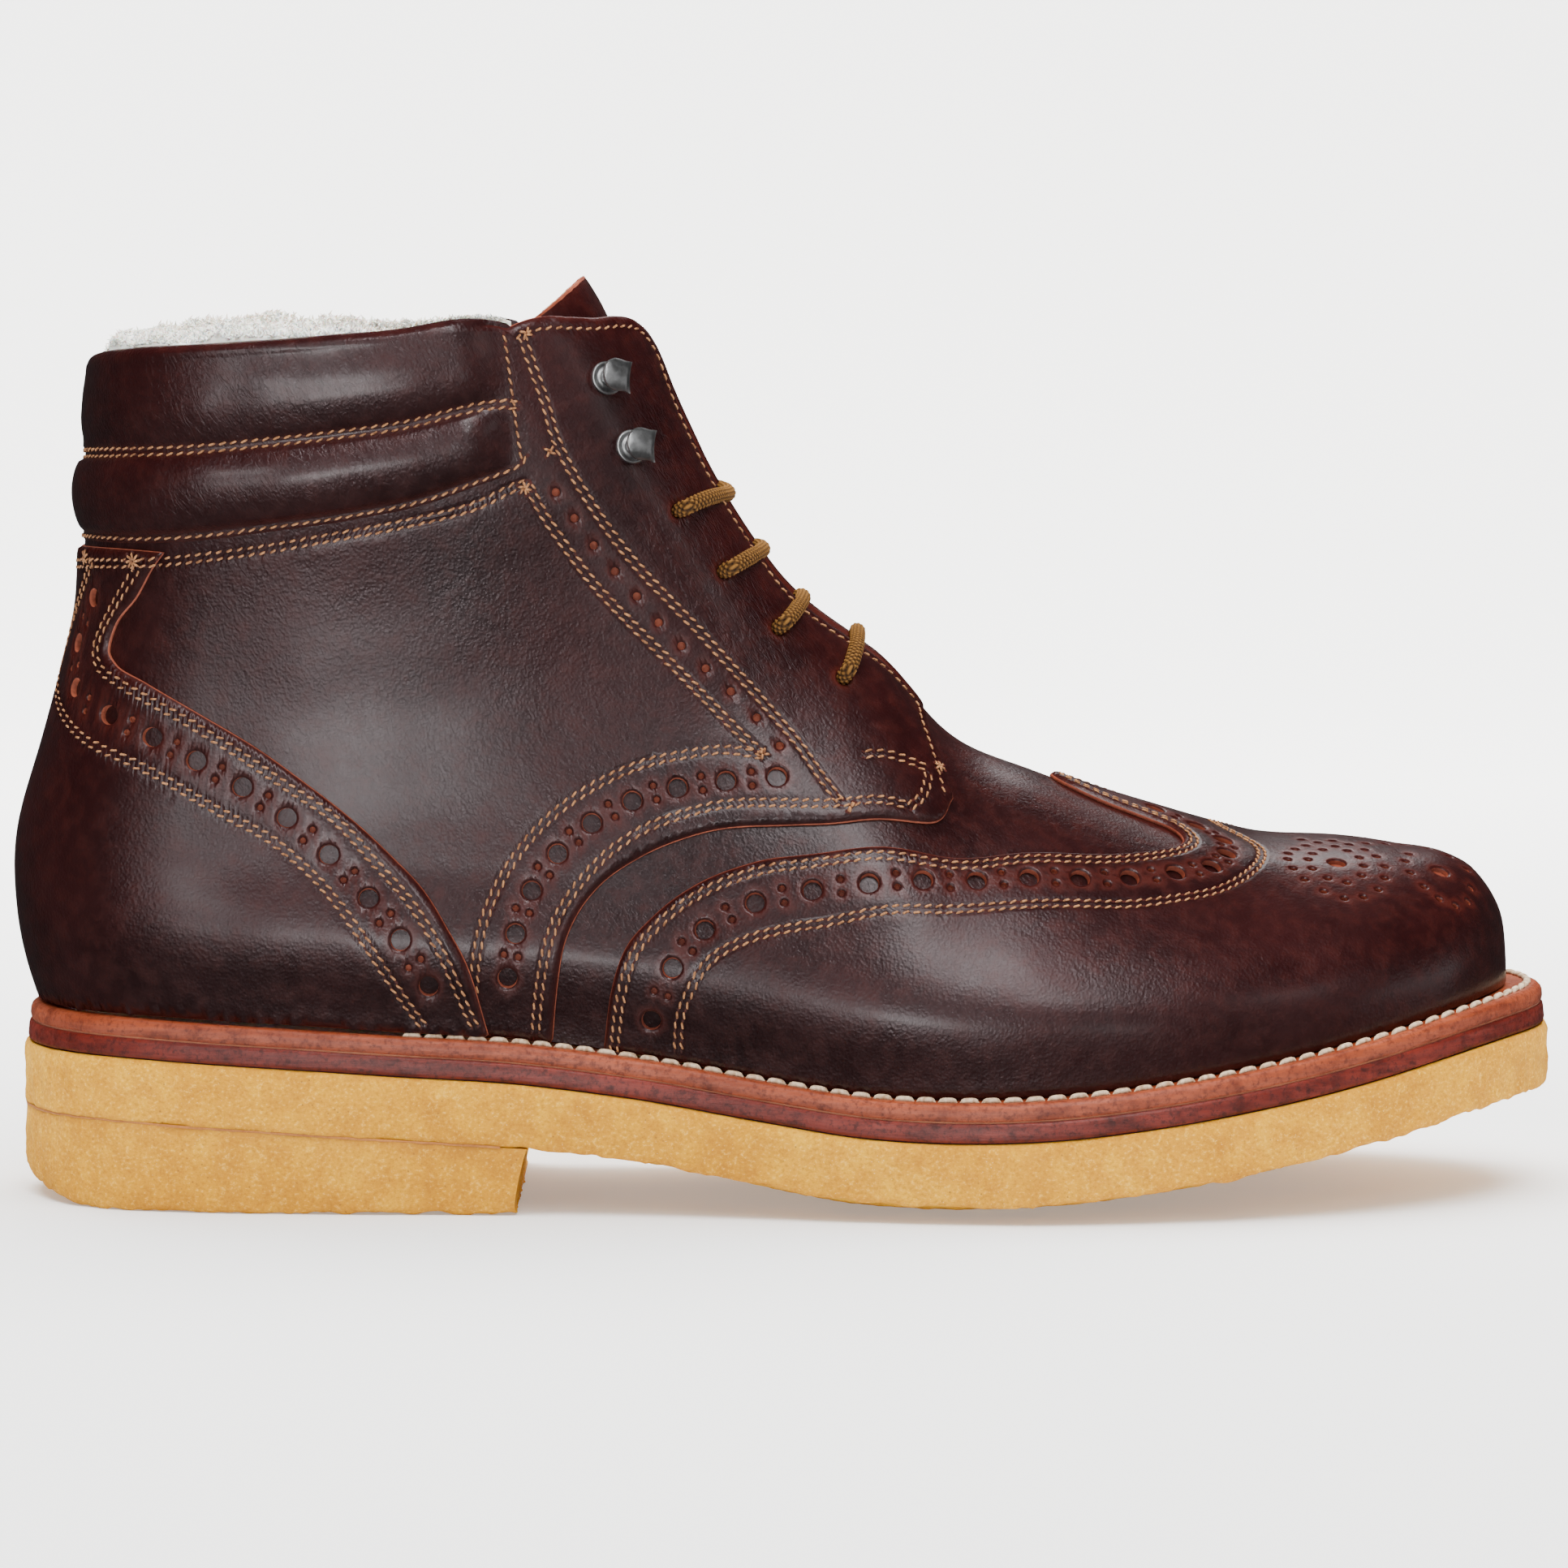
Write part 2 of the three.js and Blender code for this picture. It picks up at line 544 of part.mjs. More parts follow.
// The padded collar has two rolls and turns over the top edge of the shell.
function collar() {
  const low = lineHeight(PAD_LINE);
  const high = lineHeight(COLLAR_LINE);
  const lowEnd = station(PAD_LINE[PAD_LINE.length - 1][0]);
  const highEnd = station(COLLAR_LINE[5][0]);
  const whole = Math.floor((highEnd * NET_COLUMNS) / Math.PI);
  const floor = SECOND[0] + GAP;
  const rise = (spot, height) => spot.add(new THREE.Vector3(0, 0, height));
  const columns = [];
  for (let i = -whole - 1; i <= whole + 1; i++) {
    const end = Math.abs(i) > whole;
    const sign = i < 0 ? -1 : 1;
    const [from, to] = end ? [lowEnd, highEnd] : [netStation(Math.abs(i)), netStation(Math.abs(i))];
    const spot = (v, distance) =>
      onNet(sign * (from + (to - from) * v), low(from) + (high(to) - low(from)) * v, distance);
    const ring = [];
    for (let k = 0; k <= ROLL_STEPS; k++) {
      const roll = Math.abs(Math.sin((2 * Math.PI * k) / ROLL_STEPS)) ** 0.7;
      ring.push(spot(k / ROLL_STEPS, floor + PAD_EDGE + PAD_DEPTH * roll));
    }
    const step = 2 * GAP;
    ring.push(rise(spot(1, floor + PAD_EDGE / 2), CUFF_RISE), rise(spot(1, -WALL), CUFF_RISE));
    ring.push(rise(spot(1, -WALL), step), rise(spot(1, floor), step));
    ring.push(spot(0.75, floor), spot(0.5, floor), spot(0.25, floor), spot(0, floor));
    columns.push(ring);
  }
  const list = [];
  const size = columns[0].length;
  for (let i = 0; i < columns.length - 1; i++) {
    for (let k = 0; k < size; k++) {
      const next = (k + 1) % size;
      pushQuad(list, columns[i][k], columns[i + 1][k], columns[i + 1][next], columns[i][next]);
    }
  }
  // The front ends are filled as a flat shape: heights against distances from the leather.
  const profile = [];
  for (let k = 0; k <= ROLL_STEPS; k++) {
    const roll = Math.abs(Math.sin((2 * Math.PI * k) / ROLL_STEPS)) ** 0.7;
    profile.push(new THREE.Vector2(k / ROLL_STEPS, PAD_EDGE + PAD_DEPTH * roll));
  }
  for (const [v, d] of [[1.1, 0.4], [1.1, -3], [1.03, -3], [1.03, 0], [0.75, 0], [0.5, 0], [0.25, 0], [0, 0]]) {
    profile.push(new THREE.Vector2(v, d));
  }
  const fill = THREE.ShapeUtils.triangulateShape(profile, []);
  const turned = THREE.ShapeUtils.isClockWise(profile);
  for (const [a, b, c] of fill) {
    const [near, far] = [columns[0], columns[columns.length - 1]];
    if (turned) pushTriangle(list, near[a], near[c], near[b]);
    else pushTriangle(list, near[a], near[b], near[c]);
    if (turned) pushTriangle(list, far[a], far[b], far[c]);
    else pushTriangle(list, far[a], far[c], far[b]);
  }
  addMesh('collar', list, LEATHER);
}
collar();

// The tongue lies under the throat and rises above the facings.
function tongue() {
  const columns = 8;
  const rows = 14;
  const from = station(0.628);
  const to = station(0.383);
  const grid = (depth) => {
    const lines = [];
    for (let i = 0; i <= columns; i++) {
      const q = (2 * i) / columns - 1;
      const line = [];
      for (let j = 0; j <= rows; j++) {
        const v = j / rows;
        const t = from + (to - from) * v - 0.085 * q * q * v ** 3;
        const half = halfWidth(t) * LAST_WIDTH * 1.12;
        const n = fullness(t);
        const share = Math.min((TONGUE_WIDTH * (0.72 + 0.28 * v)) / 2 / half, 0.9) * Math.abs(q);
        const rise = Math.asin(Math.max(1 - share ** n, 0) ** (1 / n));
        const lean = TONGUE_LEAN * v * v;
        line.push(onLast(t, q > 0 ? rise : Math.PI - rise, -WALL - TONGUE_SET - lean - depth));
      }
      lines.push(line);
    }
    return lines;
  };
  addMesh('tongue', gridSolid(grid(0).reverse(), grid(TONGUE_THICKNESS).reverse()), LEATHER);
}
tongue();

// Each lace bar runs over the leather from one facing to the other.
LACE_BARS.forEach(([share, rise, cross], i) => {
  const above = FIRST[1] + GAP + LACE_DIAMETER / 2;
  const path = [];
  const steps = 14;
  for (let k = 0; k <= steps; k++) {
    const u = (2 * k) / steps - 1;
    const p = Math.PI / 2 + (1 - rise) * (Math.PI / 2) * u;
    const t = station(share + (cross - share) * (1 - u * u));
    path.push(onNet(t, p, above));
  }
  const round = new THREE.Shape();
  round.absarc(0, 0, LACE_DIAMETER / 2, 0, 2 * Math.PI, false);
  const extrudePath = new THREE.CatmullRomCurve3(path);
  const options = { steps: 12, curveSegments: 4, bevelEnabled: false, extrudePath };
  const bar = new THREE.ExtrudeGeometry(round, options);
  addMesh(`lace_bar_${i + 1}`, bar.attributes.position.array, LACE);
});

// A speed hook: base disc, front wall and domed cap that is open to the ankle.
function hook(name, t, p) {
  const normal = lastNormal(t, p);
  const seat = onNet(t, p, FIRST[1] + GAP);
  const toCrown = onLast(t, p < Math.PI / 2 ? p + 0.05 : p - 0.05, FIRST[1]).sub(seat);
  const frontward = toCrown.addScaledVector(normal, -toCrown.dot(normal)).normalize();
  const sideways = new THREE.Vector3().crossVectors(normal, frontward);
  const turn = new THREE.Matrix4().makeBasis(frontward, sideways, normal).setPosition(seat);
  const r = HOOK_DIAMETER / 2;
  const disc = new THREE.LatheGeometry([[0, 0], [r, 0], [r, 0.5], [r - 0.4, 0.9], [0, 0.9]].map((v) => new THREE.Vector2(...v)), 12);
  disc.rotateX(Math.PI / 2);
  const cap = new THREE.LatheGeometry(
    [[0, HOOK_HEIGHT - 1.5], [0.93 * r, HOOK_HEIGHT - 1.7], [0.93 * r, HOOK_HEIGHT - 1.1], [0.6 * r, HOOK_HEIGHT - 0.3], [0, HOOK_HEIGHT]]
      .map((v) => new THREE.Vector2(...v)), 12);
  cap.rotateX(Math.PI / 2);
  const wall = new THREE.BoxGeometry(1, 1.5 * r, HOOK_HEIGHT - 1.6);
  wall.translate(0.7 * r, 0, (HOOK_HEIGHT - 1) / 2);
  const solid = (g) => {
    g.applyMatrix4(turn);
    const parts = g.toNonIndexed();
    return flatSolid(parts.attributes.position.array);
  };
  const whole = solid(disc).add(solid(wall)).add(solid(cap));
  const { vertProperties: v, triVerts } = whole.getMesh();
  const list = [];
  for (const k of triVerts) list.push(v[3 * k], v[3 * k + 1], v[3 * k + 2]);
  addMesh(name, list, NICKEL);
}
HOOKS.forEach(([share, rise], i) => {
  const t = station(share);
  const p = (rise * Math.PI) / 2;
  hook(`hook_lateral_${i + 1}`, t, p);
  hook(`hook_medial_${i + 1}`, t, Math.PI - p);
});

// Centre the boot over the origin.
const box = new THREE.Box3().setFromObject(group);
const middle = box.getCenter(new THREE.Vector3());
group.children.forEach((mesh) => mesh.geometry.translate(-middle.x, -middle.y, -box.min.z));

export default group;
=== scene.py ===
# Looks of the wing-tip ankle boot: smooth leather with cut and punched overlays, stitches, padded
# collar, wool lining, braided laces, speed hooks, welt and crepe sole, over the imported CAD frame.
# Lengths are in millimetres of the CAD drawing until Shape.make turns them into the frame's metres.
import bmesh
import bpy
import math
from itertools import product
import numpy as np
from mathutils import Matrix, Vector
from mathutils.geometry import delaunay_2d_cdt
from mathutils.kdtree import KDTree


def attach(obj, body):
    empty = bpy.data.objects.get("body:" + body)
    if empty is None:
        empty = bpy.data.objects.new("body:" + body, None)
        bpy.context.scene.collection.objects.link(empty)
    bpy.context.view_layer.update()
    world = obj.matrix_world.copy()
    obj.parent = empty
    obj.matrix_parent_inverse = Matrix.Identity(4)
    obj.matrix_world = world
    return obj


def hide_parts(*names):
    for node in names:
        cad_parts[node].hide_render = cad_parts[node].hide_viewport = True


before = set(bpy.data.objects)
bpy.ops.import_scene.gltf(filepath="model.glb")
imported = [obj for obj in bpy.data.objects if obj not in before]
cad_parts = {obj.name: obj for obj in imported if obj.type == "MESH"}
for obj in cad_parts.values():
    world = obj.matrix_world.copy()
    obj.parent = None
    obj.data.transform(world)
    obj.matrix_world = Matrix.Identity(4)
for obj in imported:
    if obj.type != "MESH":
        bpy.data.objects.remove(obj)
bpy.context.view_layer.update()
RNG = np.random.default_rng(7)

# The frame's origin in the drawing's millimetres, and the driving sizes of the part.
ORIGIN = np.array([155.268, 1.119, 0.0])
SOLE_LENGTH, BALL_WIDTH, UPPER_HEIGHT = 312.0, 110.0, 140.0
CREPE_AT_BALL, CREPE_EDGE, CREPE_CROWN = 15.9, 12.6, 3.7
HEEL_RISE, TOE_SPRING, HEEL_LENGTH = 15.0, 17.0, 101.0
MIDSOLE, WELT, GAP, WALL = 3.8, 3.6, 0.3, 2.4
LAST_START, LAST_LENGTH, LAST_WIDTH = 0.0199 * 312, 0.947 * 312, 0.8545 * 110
TOP_1, TOP_2 = 1.6, 3.2      # outer face of the first and the second layer of leather over the wall
LIFT = .0045                 # where the leather starts above the welt, as a rise angle
SUNK = .22                   # how deep a thread lies in its layer
CELL, SKIVE = 1.5, .5        # mesh size on the overlays, and the width of their thinned edge
PI = math.pi


def unit(v):
    return v / np.maximum(np.linalg.norm(v, axis=-1, keepdims=True), 1e-9)


def lengths(q):
    """How far along a line of points each one lies."""
    return np.concatenate([[0], np.cumsum(np.linalg.norm(np.diff(q, axis=0), axis=1))])


def resample(q, far, at):
    return np.column_stack([np.interp(at, far, column) for column in q.T])


def pairs(text, width=2):
    return np.array([float(v) for v in text.split()]).reshape(-1, width)


def quads(i):
    """The faces between the rows of an array of point numbers."""
    return np.stack([i[..., :-1, :-1], i[..., 1:, :-1], i[..., 1:, 1:], i[..., :-1, 1:]], -1).reshape(-1, 4)


def closed(i):
    return np.concatenate([i, i[..., :1]], -1)


# ---- the shape of the last, as in the CAD source ----
class Spline:
    def __init__(s, x, y):
        s.x, s.y = np.array(x, float), np.array(y, float)
        n = len(s.x)
        h = np.diff(s.x)
        a, r = np.eye(n), np.zeros(n)
        for i in range(1, n - 1):
            a[i, i - 1], a[i, i], a[i, i + 1] = h[i - 1], 2 * (h[i - 1] + h[i]), h[i]
            r[i] = 6 * ((s.y[i + 1] - s.y[i]) / h[i] - (s.y[i] - s.y[i - 1]) / h[i - 1])
        s.m = np.linalg.solve(a, r)

    def __call__(s, q):
        q = np.clip(np.asarray(q, float), s.x[0], s.x[-1])
        i = np.clip(np.searchsorted(s.x, q) - 1, 0, len(s.x) - 2)
        h = s.x[i + 1] - s.x[i]
        a, b = (s.x[i + 1] - q) / h, (q - s.x[i]) / h
        bend = ((a ** 3 - a) * s.m[i] + (b ** 3 - b) * s.m[i + 1]) * h * h / 6
        return a * s.y[i] + b * s.y[i + 1] + bend


def station(share):
    """The angle that stands for a share of the last's length."""
    return np.arccos(np.clip(1 - 2 * np.asarray(share, float), -1, 1))


def share_at(t):
    return (1 - np.cos(t)) / 2


def splines(text, width=2, over=lambda share: share):
    """Splines through the columns of a table, over its first column."""
    table = pairs(text, width)
    return [Spline(over(table[:, 0]), column) for column in table[:, 1:].T]


# over the station along the last: half width and centre line, crown height and side, fullness
half_width, centre = splines("""0 0 0 .005 .098 0 .02 .191 0 .05 .279 -.002 .1 .332 -.005 .16 .355 -.009 .22 .362 -.013
.3 .356 -.026 .38 .349 -.048 .45 .362 -.062 .52 .396 -.067 .6 .447 -.056 .66 .482 -.032 .72 .5 0
.78 .498 .032 .84 .466 .06 .9 .4 .083 .95 .306 .1 .98 .202 .112 .995 .102 .116 1 0 .117""", 3, station)
# over the share of the last's length: the sole's rise at the heel and at the toe
heel_curve, = splines("""-.03 1 0 1 .05 .987 .11 .927 .17 .867 .25 .773 .32 .693 .365 .6 .41 .487 .46 .327
.51 .173 .55 .067 .6 .01 .64 0 .7 0""")
toe_curve, = splines(""".5 0 .6 0 .64 .01 .69 .053 .745 .153 .82 .347 .89 .576 .925 .712 .955 .835
.98 .924 1.01 .994 1.04 1""")
crown_height, crown_side = splines("""0 1.465 0 .182 1.452 0 .267 1.391 0 .328 1.278 0 .405 1.05 .007 .453 .877 .012
.507 .72 .017 .568 .617 .023 .597 .55 .026 .615 .51 .028 .662 .458 .036 .721 .4 .062
.777 .346 .103 .837 .292 .16 .888 .26 .188 .915 .239 .192 .943 .211 .184 .964 .185 .17
.98 .156 .153 .992 .12 .135 .998 .079 .124 1 0 .117""", 3, station)
fullness, = splines("""0 2.5 .32 2.5 .45 2.3 .57 2.05 .67 1.95 .76 1.95 .825 2 .91 2.15 .967 2.3
1 2.35""", 2, station)
# over the height in the upper: the back edge and the girth
back_edge, girth = splines("""-.06 .0081 1 0 .0007 1 .05 -.0068 1 .1 -.0122 1 .16 -.0151 .995 .22 -.0152 .982
.28 -.0105 .965 .36 .0007 .955 .45 .0125 .955 .52 .0213 .97 .58 .0271 .99 .64 .0291 1.02
.72 .03 1.07 .82 .0308 1.12 .92 .034 1.17 1.02 .037 1.22 1.48 .04 1.3""", 3)


def smooth(a, b, x):
    u = np.clip((np.asarray(x, float) - a) / (b - a), 0, 1)
    return u * u * (3 - 2 * u)


def crepe_top(x):
    s = (np.asarray(x, float) - LAST_START) / LAST_LENGTH
    return (CREPE_AT_BALL + HEEL_RISE * np.where(s < .64, heel_curve(s), 0)
            + TOE_SPRING * np.where(s > .6, toe_curve(s), 0))


def welt_top(x):
    return crepe_top(x) + MIDSOLE + WELT + 2 * GAP


HEEL_SEAT = float(welt_top(LAST_START))


def last(t, p):
    """The last at a station (negative behind the heel's middle) and a rise angle: 0 outside, PI inside."""
    t, p = np.broadcast_arrays(np.asarray(t, float), np.asarray(p, float))
    over = p > PI / 2
    side = np.where(over, 1.0, -1.0) * np.where(t < 0, -1.0, 1.0)
    rise = np.where(over, PI - p, p)
    t = np.minimum(np.abs(t), PI)
    share = share_at(t)
    along = LAST_START + LAST_LENGTH * share
    base = welt_top(along)
    up = np.maximum(crown_height(t), 0) * UPPER_HEIGHT * np.sin(rise)
    z = base + up
    level, low_level = (z - HEEL_SEAT) / UPPER_HEIGHT, (base - HEEL_SEAT) / UPPER_HEIGHT
    near = np.clip(share / .27, 0, 1)
    fall = (1 - near) ** 2 * (1 + 2 * near)
    x = along + (back_edge(level) - back_edge(low_level)) * LAST_LENGTH * fall
    ridge, half = crown_side(t) * LAST_WIDTH, half_width(t) * LAST_WIDTH
    low = half + side * (centre(t) * LAST_WIDTH - ridge)
    width = low + (half - low) * smooth(.08, .51, level)
    n = fullness(t)
    across = np.maximum(1 - np.maximum(np.sin(rise), 0) ** n, 0) ** (1 / n)
    h = np.clip(up / UPPER_HEIGHT / .243, 0, 1)
    swell = np.sin(PI * h) ** 2 * np.sin(t) * (1 - smooth(.75, 1, np.sin(rise)))
    return np.stack([x, ridge + side * (width * girth(level) * across + 2.4 * swell), z], -1)


def normal(t, p, e=2e-3):
    t = np.clip(np.asarray(t, float), .02 - PI, PI - .02)
    p = np.clip(np.asarray(p, float), 2 * e, PI - 2 * e)
    return unit(np.cross(last(t + e, p) - last(t - e, p), last(t, p + e) - last(t, p - e)))


def noise(p, size, seed=0):
    """Smooth noise between -1 and 1, of grains of a size in mm, the same each run."""
    q = np.asarray(p, float) / size + 100.0
    i = np.floor(q).astype(np.int64)
    f = q - i
    u = f * f * (3 - 2 * f)
    out = 0.0
    for corner in product((0, 1), repeat=3):
        x, y, z = (i[..., k] + corner[k] for k in range(3))
        with np.errstate(over="ignore"):      # the hash wraps round
            h = (x * 73856093) ^ (y * 19349663) ^ (z * 83492791) ^ (seed * 7919 + 12345)
            h = (h ^ (h >> 13)) * 1274126177 & 0x7FFFFFFF
        h = (h ^ (h >> 16)) & 0xFFFF
        a, b, c = (u[..., k] if corner[k] else 1 - u[..., k] for k in range(3))
        out = out + a * b * c * (h / 32767.5 - 1)
    return out


def relief(q):
    """The soft unevenness of worn leather."""
    return .3 * noise(q, 34, 1) + .1 * noise(q, 12, 2)


# how far the middle of the upper lies under the last, over the share of its length
RIDGE = pairs(""".395 0 .42 .8 .45 2 .5 2.2 .545 1.3 .6 1.2 .66 1.6 .76 1.5 .83 1.7 .87 1.1 .93 .5
.955 -.6 .975 -1.1 1 0""")


def place(t, p, d):
    """A point of the boot, d outside the last."""
    t, p, d = np.broadcast_arrays(np.asarray(t, float), np.asarray(p, float), np.asarray(d, float))
    q = last(t, p)
    low = smooth(.6, .9, 1 - np.abs(p / (PI / 2) - 1)) * np.interp(share_at(np.abs(t)), *RIDGE.T)
    q = q + normal(t, p) * (d + relief(q) - low)[..., None]
    # the inner side stands a little lower at the top front
    q[..., 2] -= 1.2 * smooth(150, 178, q[..., 2]) * smooth(2, 14, q[..., 1] - 1.1) * smooth(60, 95, q[..., 0])
    q[..., 2] = np.maximum(q[..., 2], welt_top(q[..., 0]) + .15)
    return q


# ---- lines in (station, rise angle) ----
def curve(points, per=10):
    """A centripetal curve through (share, rise share) points."""
    p = np.asarray(points, float)
    p = np.column_stack([station(np.abs(p[:, 0])) * np.sign(p[:, 0] + 1e-12), p[:, 1] * PI / 2])
    e = np.vstack([2 * p[0] - p[1], p, 2 * p[-1] - p[-2]])
    out = [p[:1]]
    for i in range(len(p) - 1):
        a, b, c, d = e[i:i + 4]
        k = [0.0]
        for u, v in ((a, b), (b, c), (c, d)):
            k.append(k[-1] + max(np.linalg.norm(v - u), 1e-9) ** .5)
        s = np.linspace(k[1], k[2], per + 1)[1:, None]
        a1 = (k[1] - s) / (k[1] - k[0]) * a + (s - k[0]) / (k[1] - k[0]) * b
        a2 = (k[2] - s) / (k[2] - k[1]) * b + (s - k[1]) / (k[2] - k[1]) * c
        a3 = (k[3] - s) / (k[3] - k[2]) * c + (s - k[2]) / (k[3] - k[2]) * d
        b1 = (k[2] - s) / (k[2] - k[0]) * a1 + (s - k[0]) / (k[2] - k[0]) * a2
        b2 = (k[3] - s) / (k[3] - k[1]) * a2 + (s - k[1]) / (k[3] - k[1]) * a3
        out.append((k[2] - s) / (k[2] - k[1]) * b1 + (s - k[1]) / (k[2] - k[1]) * b2)
    return np.vstack(out)


def even(line, step, loop=False):
    line = np.vstack([line, line[:1]]) if loop else np.asarray(line)
    far = lengths(last(*line.T))
    count = max(int(round(far[-1] / step)), 2)
    out = resample(line, far, np.linspace(0, far[-1], count + 1))
    return out[:-1] if loop else out


def basis(t, p, e=1e-3):
    return (last(t + e, p) - last(t - e, p)) / (2 * e), (last(t, p + e) - last(t, p - e)) / (2 * e)


def to_flat(t, p, vector):
    """The step in (station, rise angle) that moves a point by a vector along the surface."""
    a, b = basis(t, p)
    aa, bb, ab = (a * a).sum(-1), (b * b).sum(-1), (a * b).sum(-1)
    va, vb = (a * vector).sum(-1), (b * vector).sum(-1)
    det = np.maximum(aa * bb - ab * ab, 1e-9)
    return np.stack([(bb * va - ab * vb) / det, (aa * vb - ab * va) / det], -1)


def shifted(line, dist, loop=False):
    """The line moved sideways, to its left seen from outside, by a distance in mm."""
    q = last(*line.T)
    go = np.roll(q, -1, 0) - np.roll(q, 1, 0) if loop else np.gradient(q, axis=0)
    return line + to_flat(*line.T, np.cross(normal(*line.T), unit(go))) * np.reshape(dist, (-1, 1))


def mirror(line):
    return np.column_stack([line[:, 0], PI - line[:, 1]])[::-1]


def mirror_heel(line):
    return np.column_stack([-line[:, 0], line[:, 1]])[::-1]


# ---- meshes ----
class Shape:
    """A mesh in the making: points with their wear-and-shade marks (real wear, and painted shade on the laces) and
    grain marks, faces and their materials.
    """
    def __init__(s):
        s.v, s.f, s.m, s.a, s.g, s.n = [], [], [], [], [], 0

    def points(s, p, wear_and_shade=0.0, grain=0.0):
        p = np.asarray(p, float).reshape(-1, 3)
        first = s.n
        s.v.append(p)
        for store, value in ((s.a, wear_and_shade), (s.g, grain)):
            value = np.asarray(value, float).reshape(-1)
            store.append(np.broadcast_to(value, (len(p),)))
        s.n += len(p)
        return first

    def faces(s, f, mat=0):
        f = np.asarray(f)
        if len(f):
            s.f += f.tolist()
            s.m += [mat] * len(f)

    def grid(s, p, mat=0, loop_i=False, loop_j=False, flip=False, wear_and_shade=0.0, grain=0.0):
        m, n = p.shape[:2]
        i = s.points(p, wear_and_shade, grain) + np.arange(m * n).reshape(m, n)
        if loop_i:
            i = np.vstack([i, i[:1]])
        q = quads(closed(i) if loop_j else i)
        s.faces(q[:, ::-1] if flip else q, mat)

    def strip(s, a, b, mat=0, flip=False, wear_and_shade=0.0):
        """Joins two rows of points."""
        s.grid(np.stack([a, b], 1), mat, flip=flip, wear_and_shade=wear_and_shade)

    def tubes(s, p, flip=False):
        """Short tubes; p is by tube, ring and place on the ring."""
        q = quads(closed(s.points(p) + np.arange(p[..., 0].size).reshape(p.shape[:3])))
        s.faces(q[:, ::-1] if flip else q)

    def make(s, name, mats, slot, replaces=(), weld=0.0):
        v = (np.vstack(s.v) - ORIGIN) / 1000
        mesh = bpy.data.meshes.new(name)
        mesh.from_pydata(v.tolist(), [], s.f)
        for key, store in (("wear_and_shade", s.a), ("grain", s.g)):
            a = mesh.attributes.new(key, "FLOAT", "POINT")
            a.data.foreach_set("value", np.concatenate(store).astype(np.float32))
        for m in mats:
            mesh.materials.append(m)
        mesh.polygons.foreach_set("material_index", s.m)
        mesh.polygons.foreach_set("use_smooth", [True] * len(s.m))
        mesh.update()
        o = bpy.data.objects.new(name, mesh)
        bpy.context.scene.collection.objects.link(o)
        if weld:
            b = bmesh.new()
            b.from_mesh(mesh)
            bmesh.ops.remove_doubles(b, verts=b.verts, dist=weld / 1000)
            b.to_mesh(mesh)
            b.free()
        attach(o, "root")
        if replaces:
            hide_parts(*replaces)
        return o


def axes(t, p):
    """Two square directions along the surface."""
    a, b = basis(t, p)
    a = unit(a)
    return a, unit(b - a * (b @ a))


def inside(poly, q):
    """Which of the points lie in the polygon."""
    x, y = q[:, 0], q[:, 1]
    hit = np.zeros(len(q), bool)
    for a, b in zip(poly, np.roll(poly, -1, 0)):
        cross = (a[1] > y) != (b[1] > y)
        if cross.any():
            hit ^= cross & (x < (b[0] - a[0]) * (y - a[1]) / ((b[1] - a[1]) or 1e-12) + a[0])
    return hit


def tree(points):
    k = KDTree(len(points))
    for i, p in enumerate(points):
        k.insert(p, i)
    k.balance()
    return k


def nearest(k, points):
    return np.array([k.find(p)[2] for p in points])


STRETCH = np.array([100.0, 62.0])      # about millimetres per station and rise angle, for the triangulation


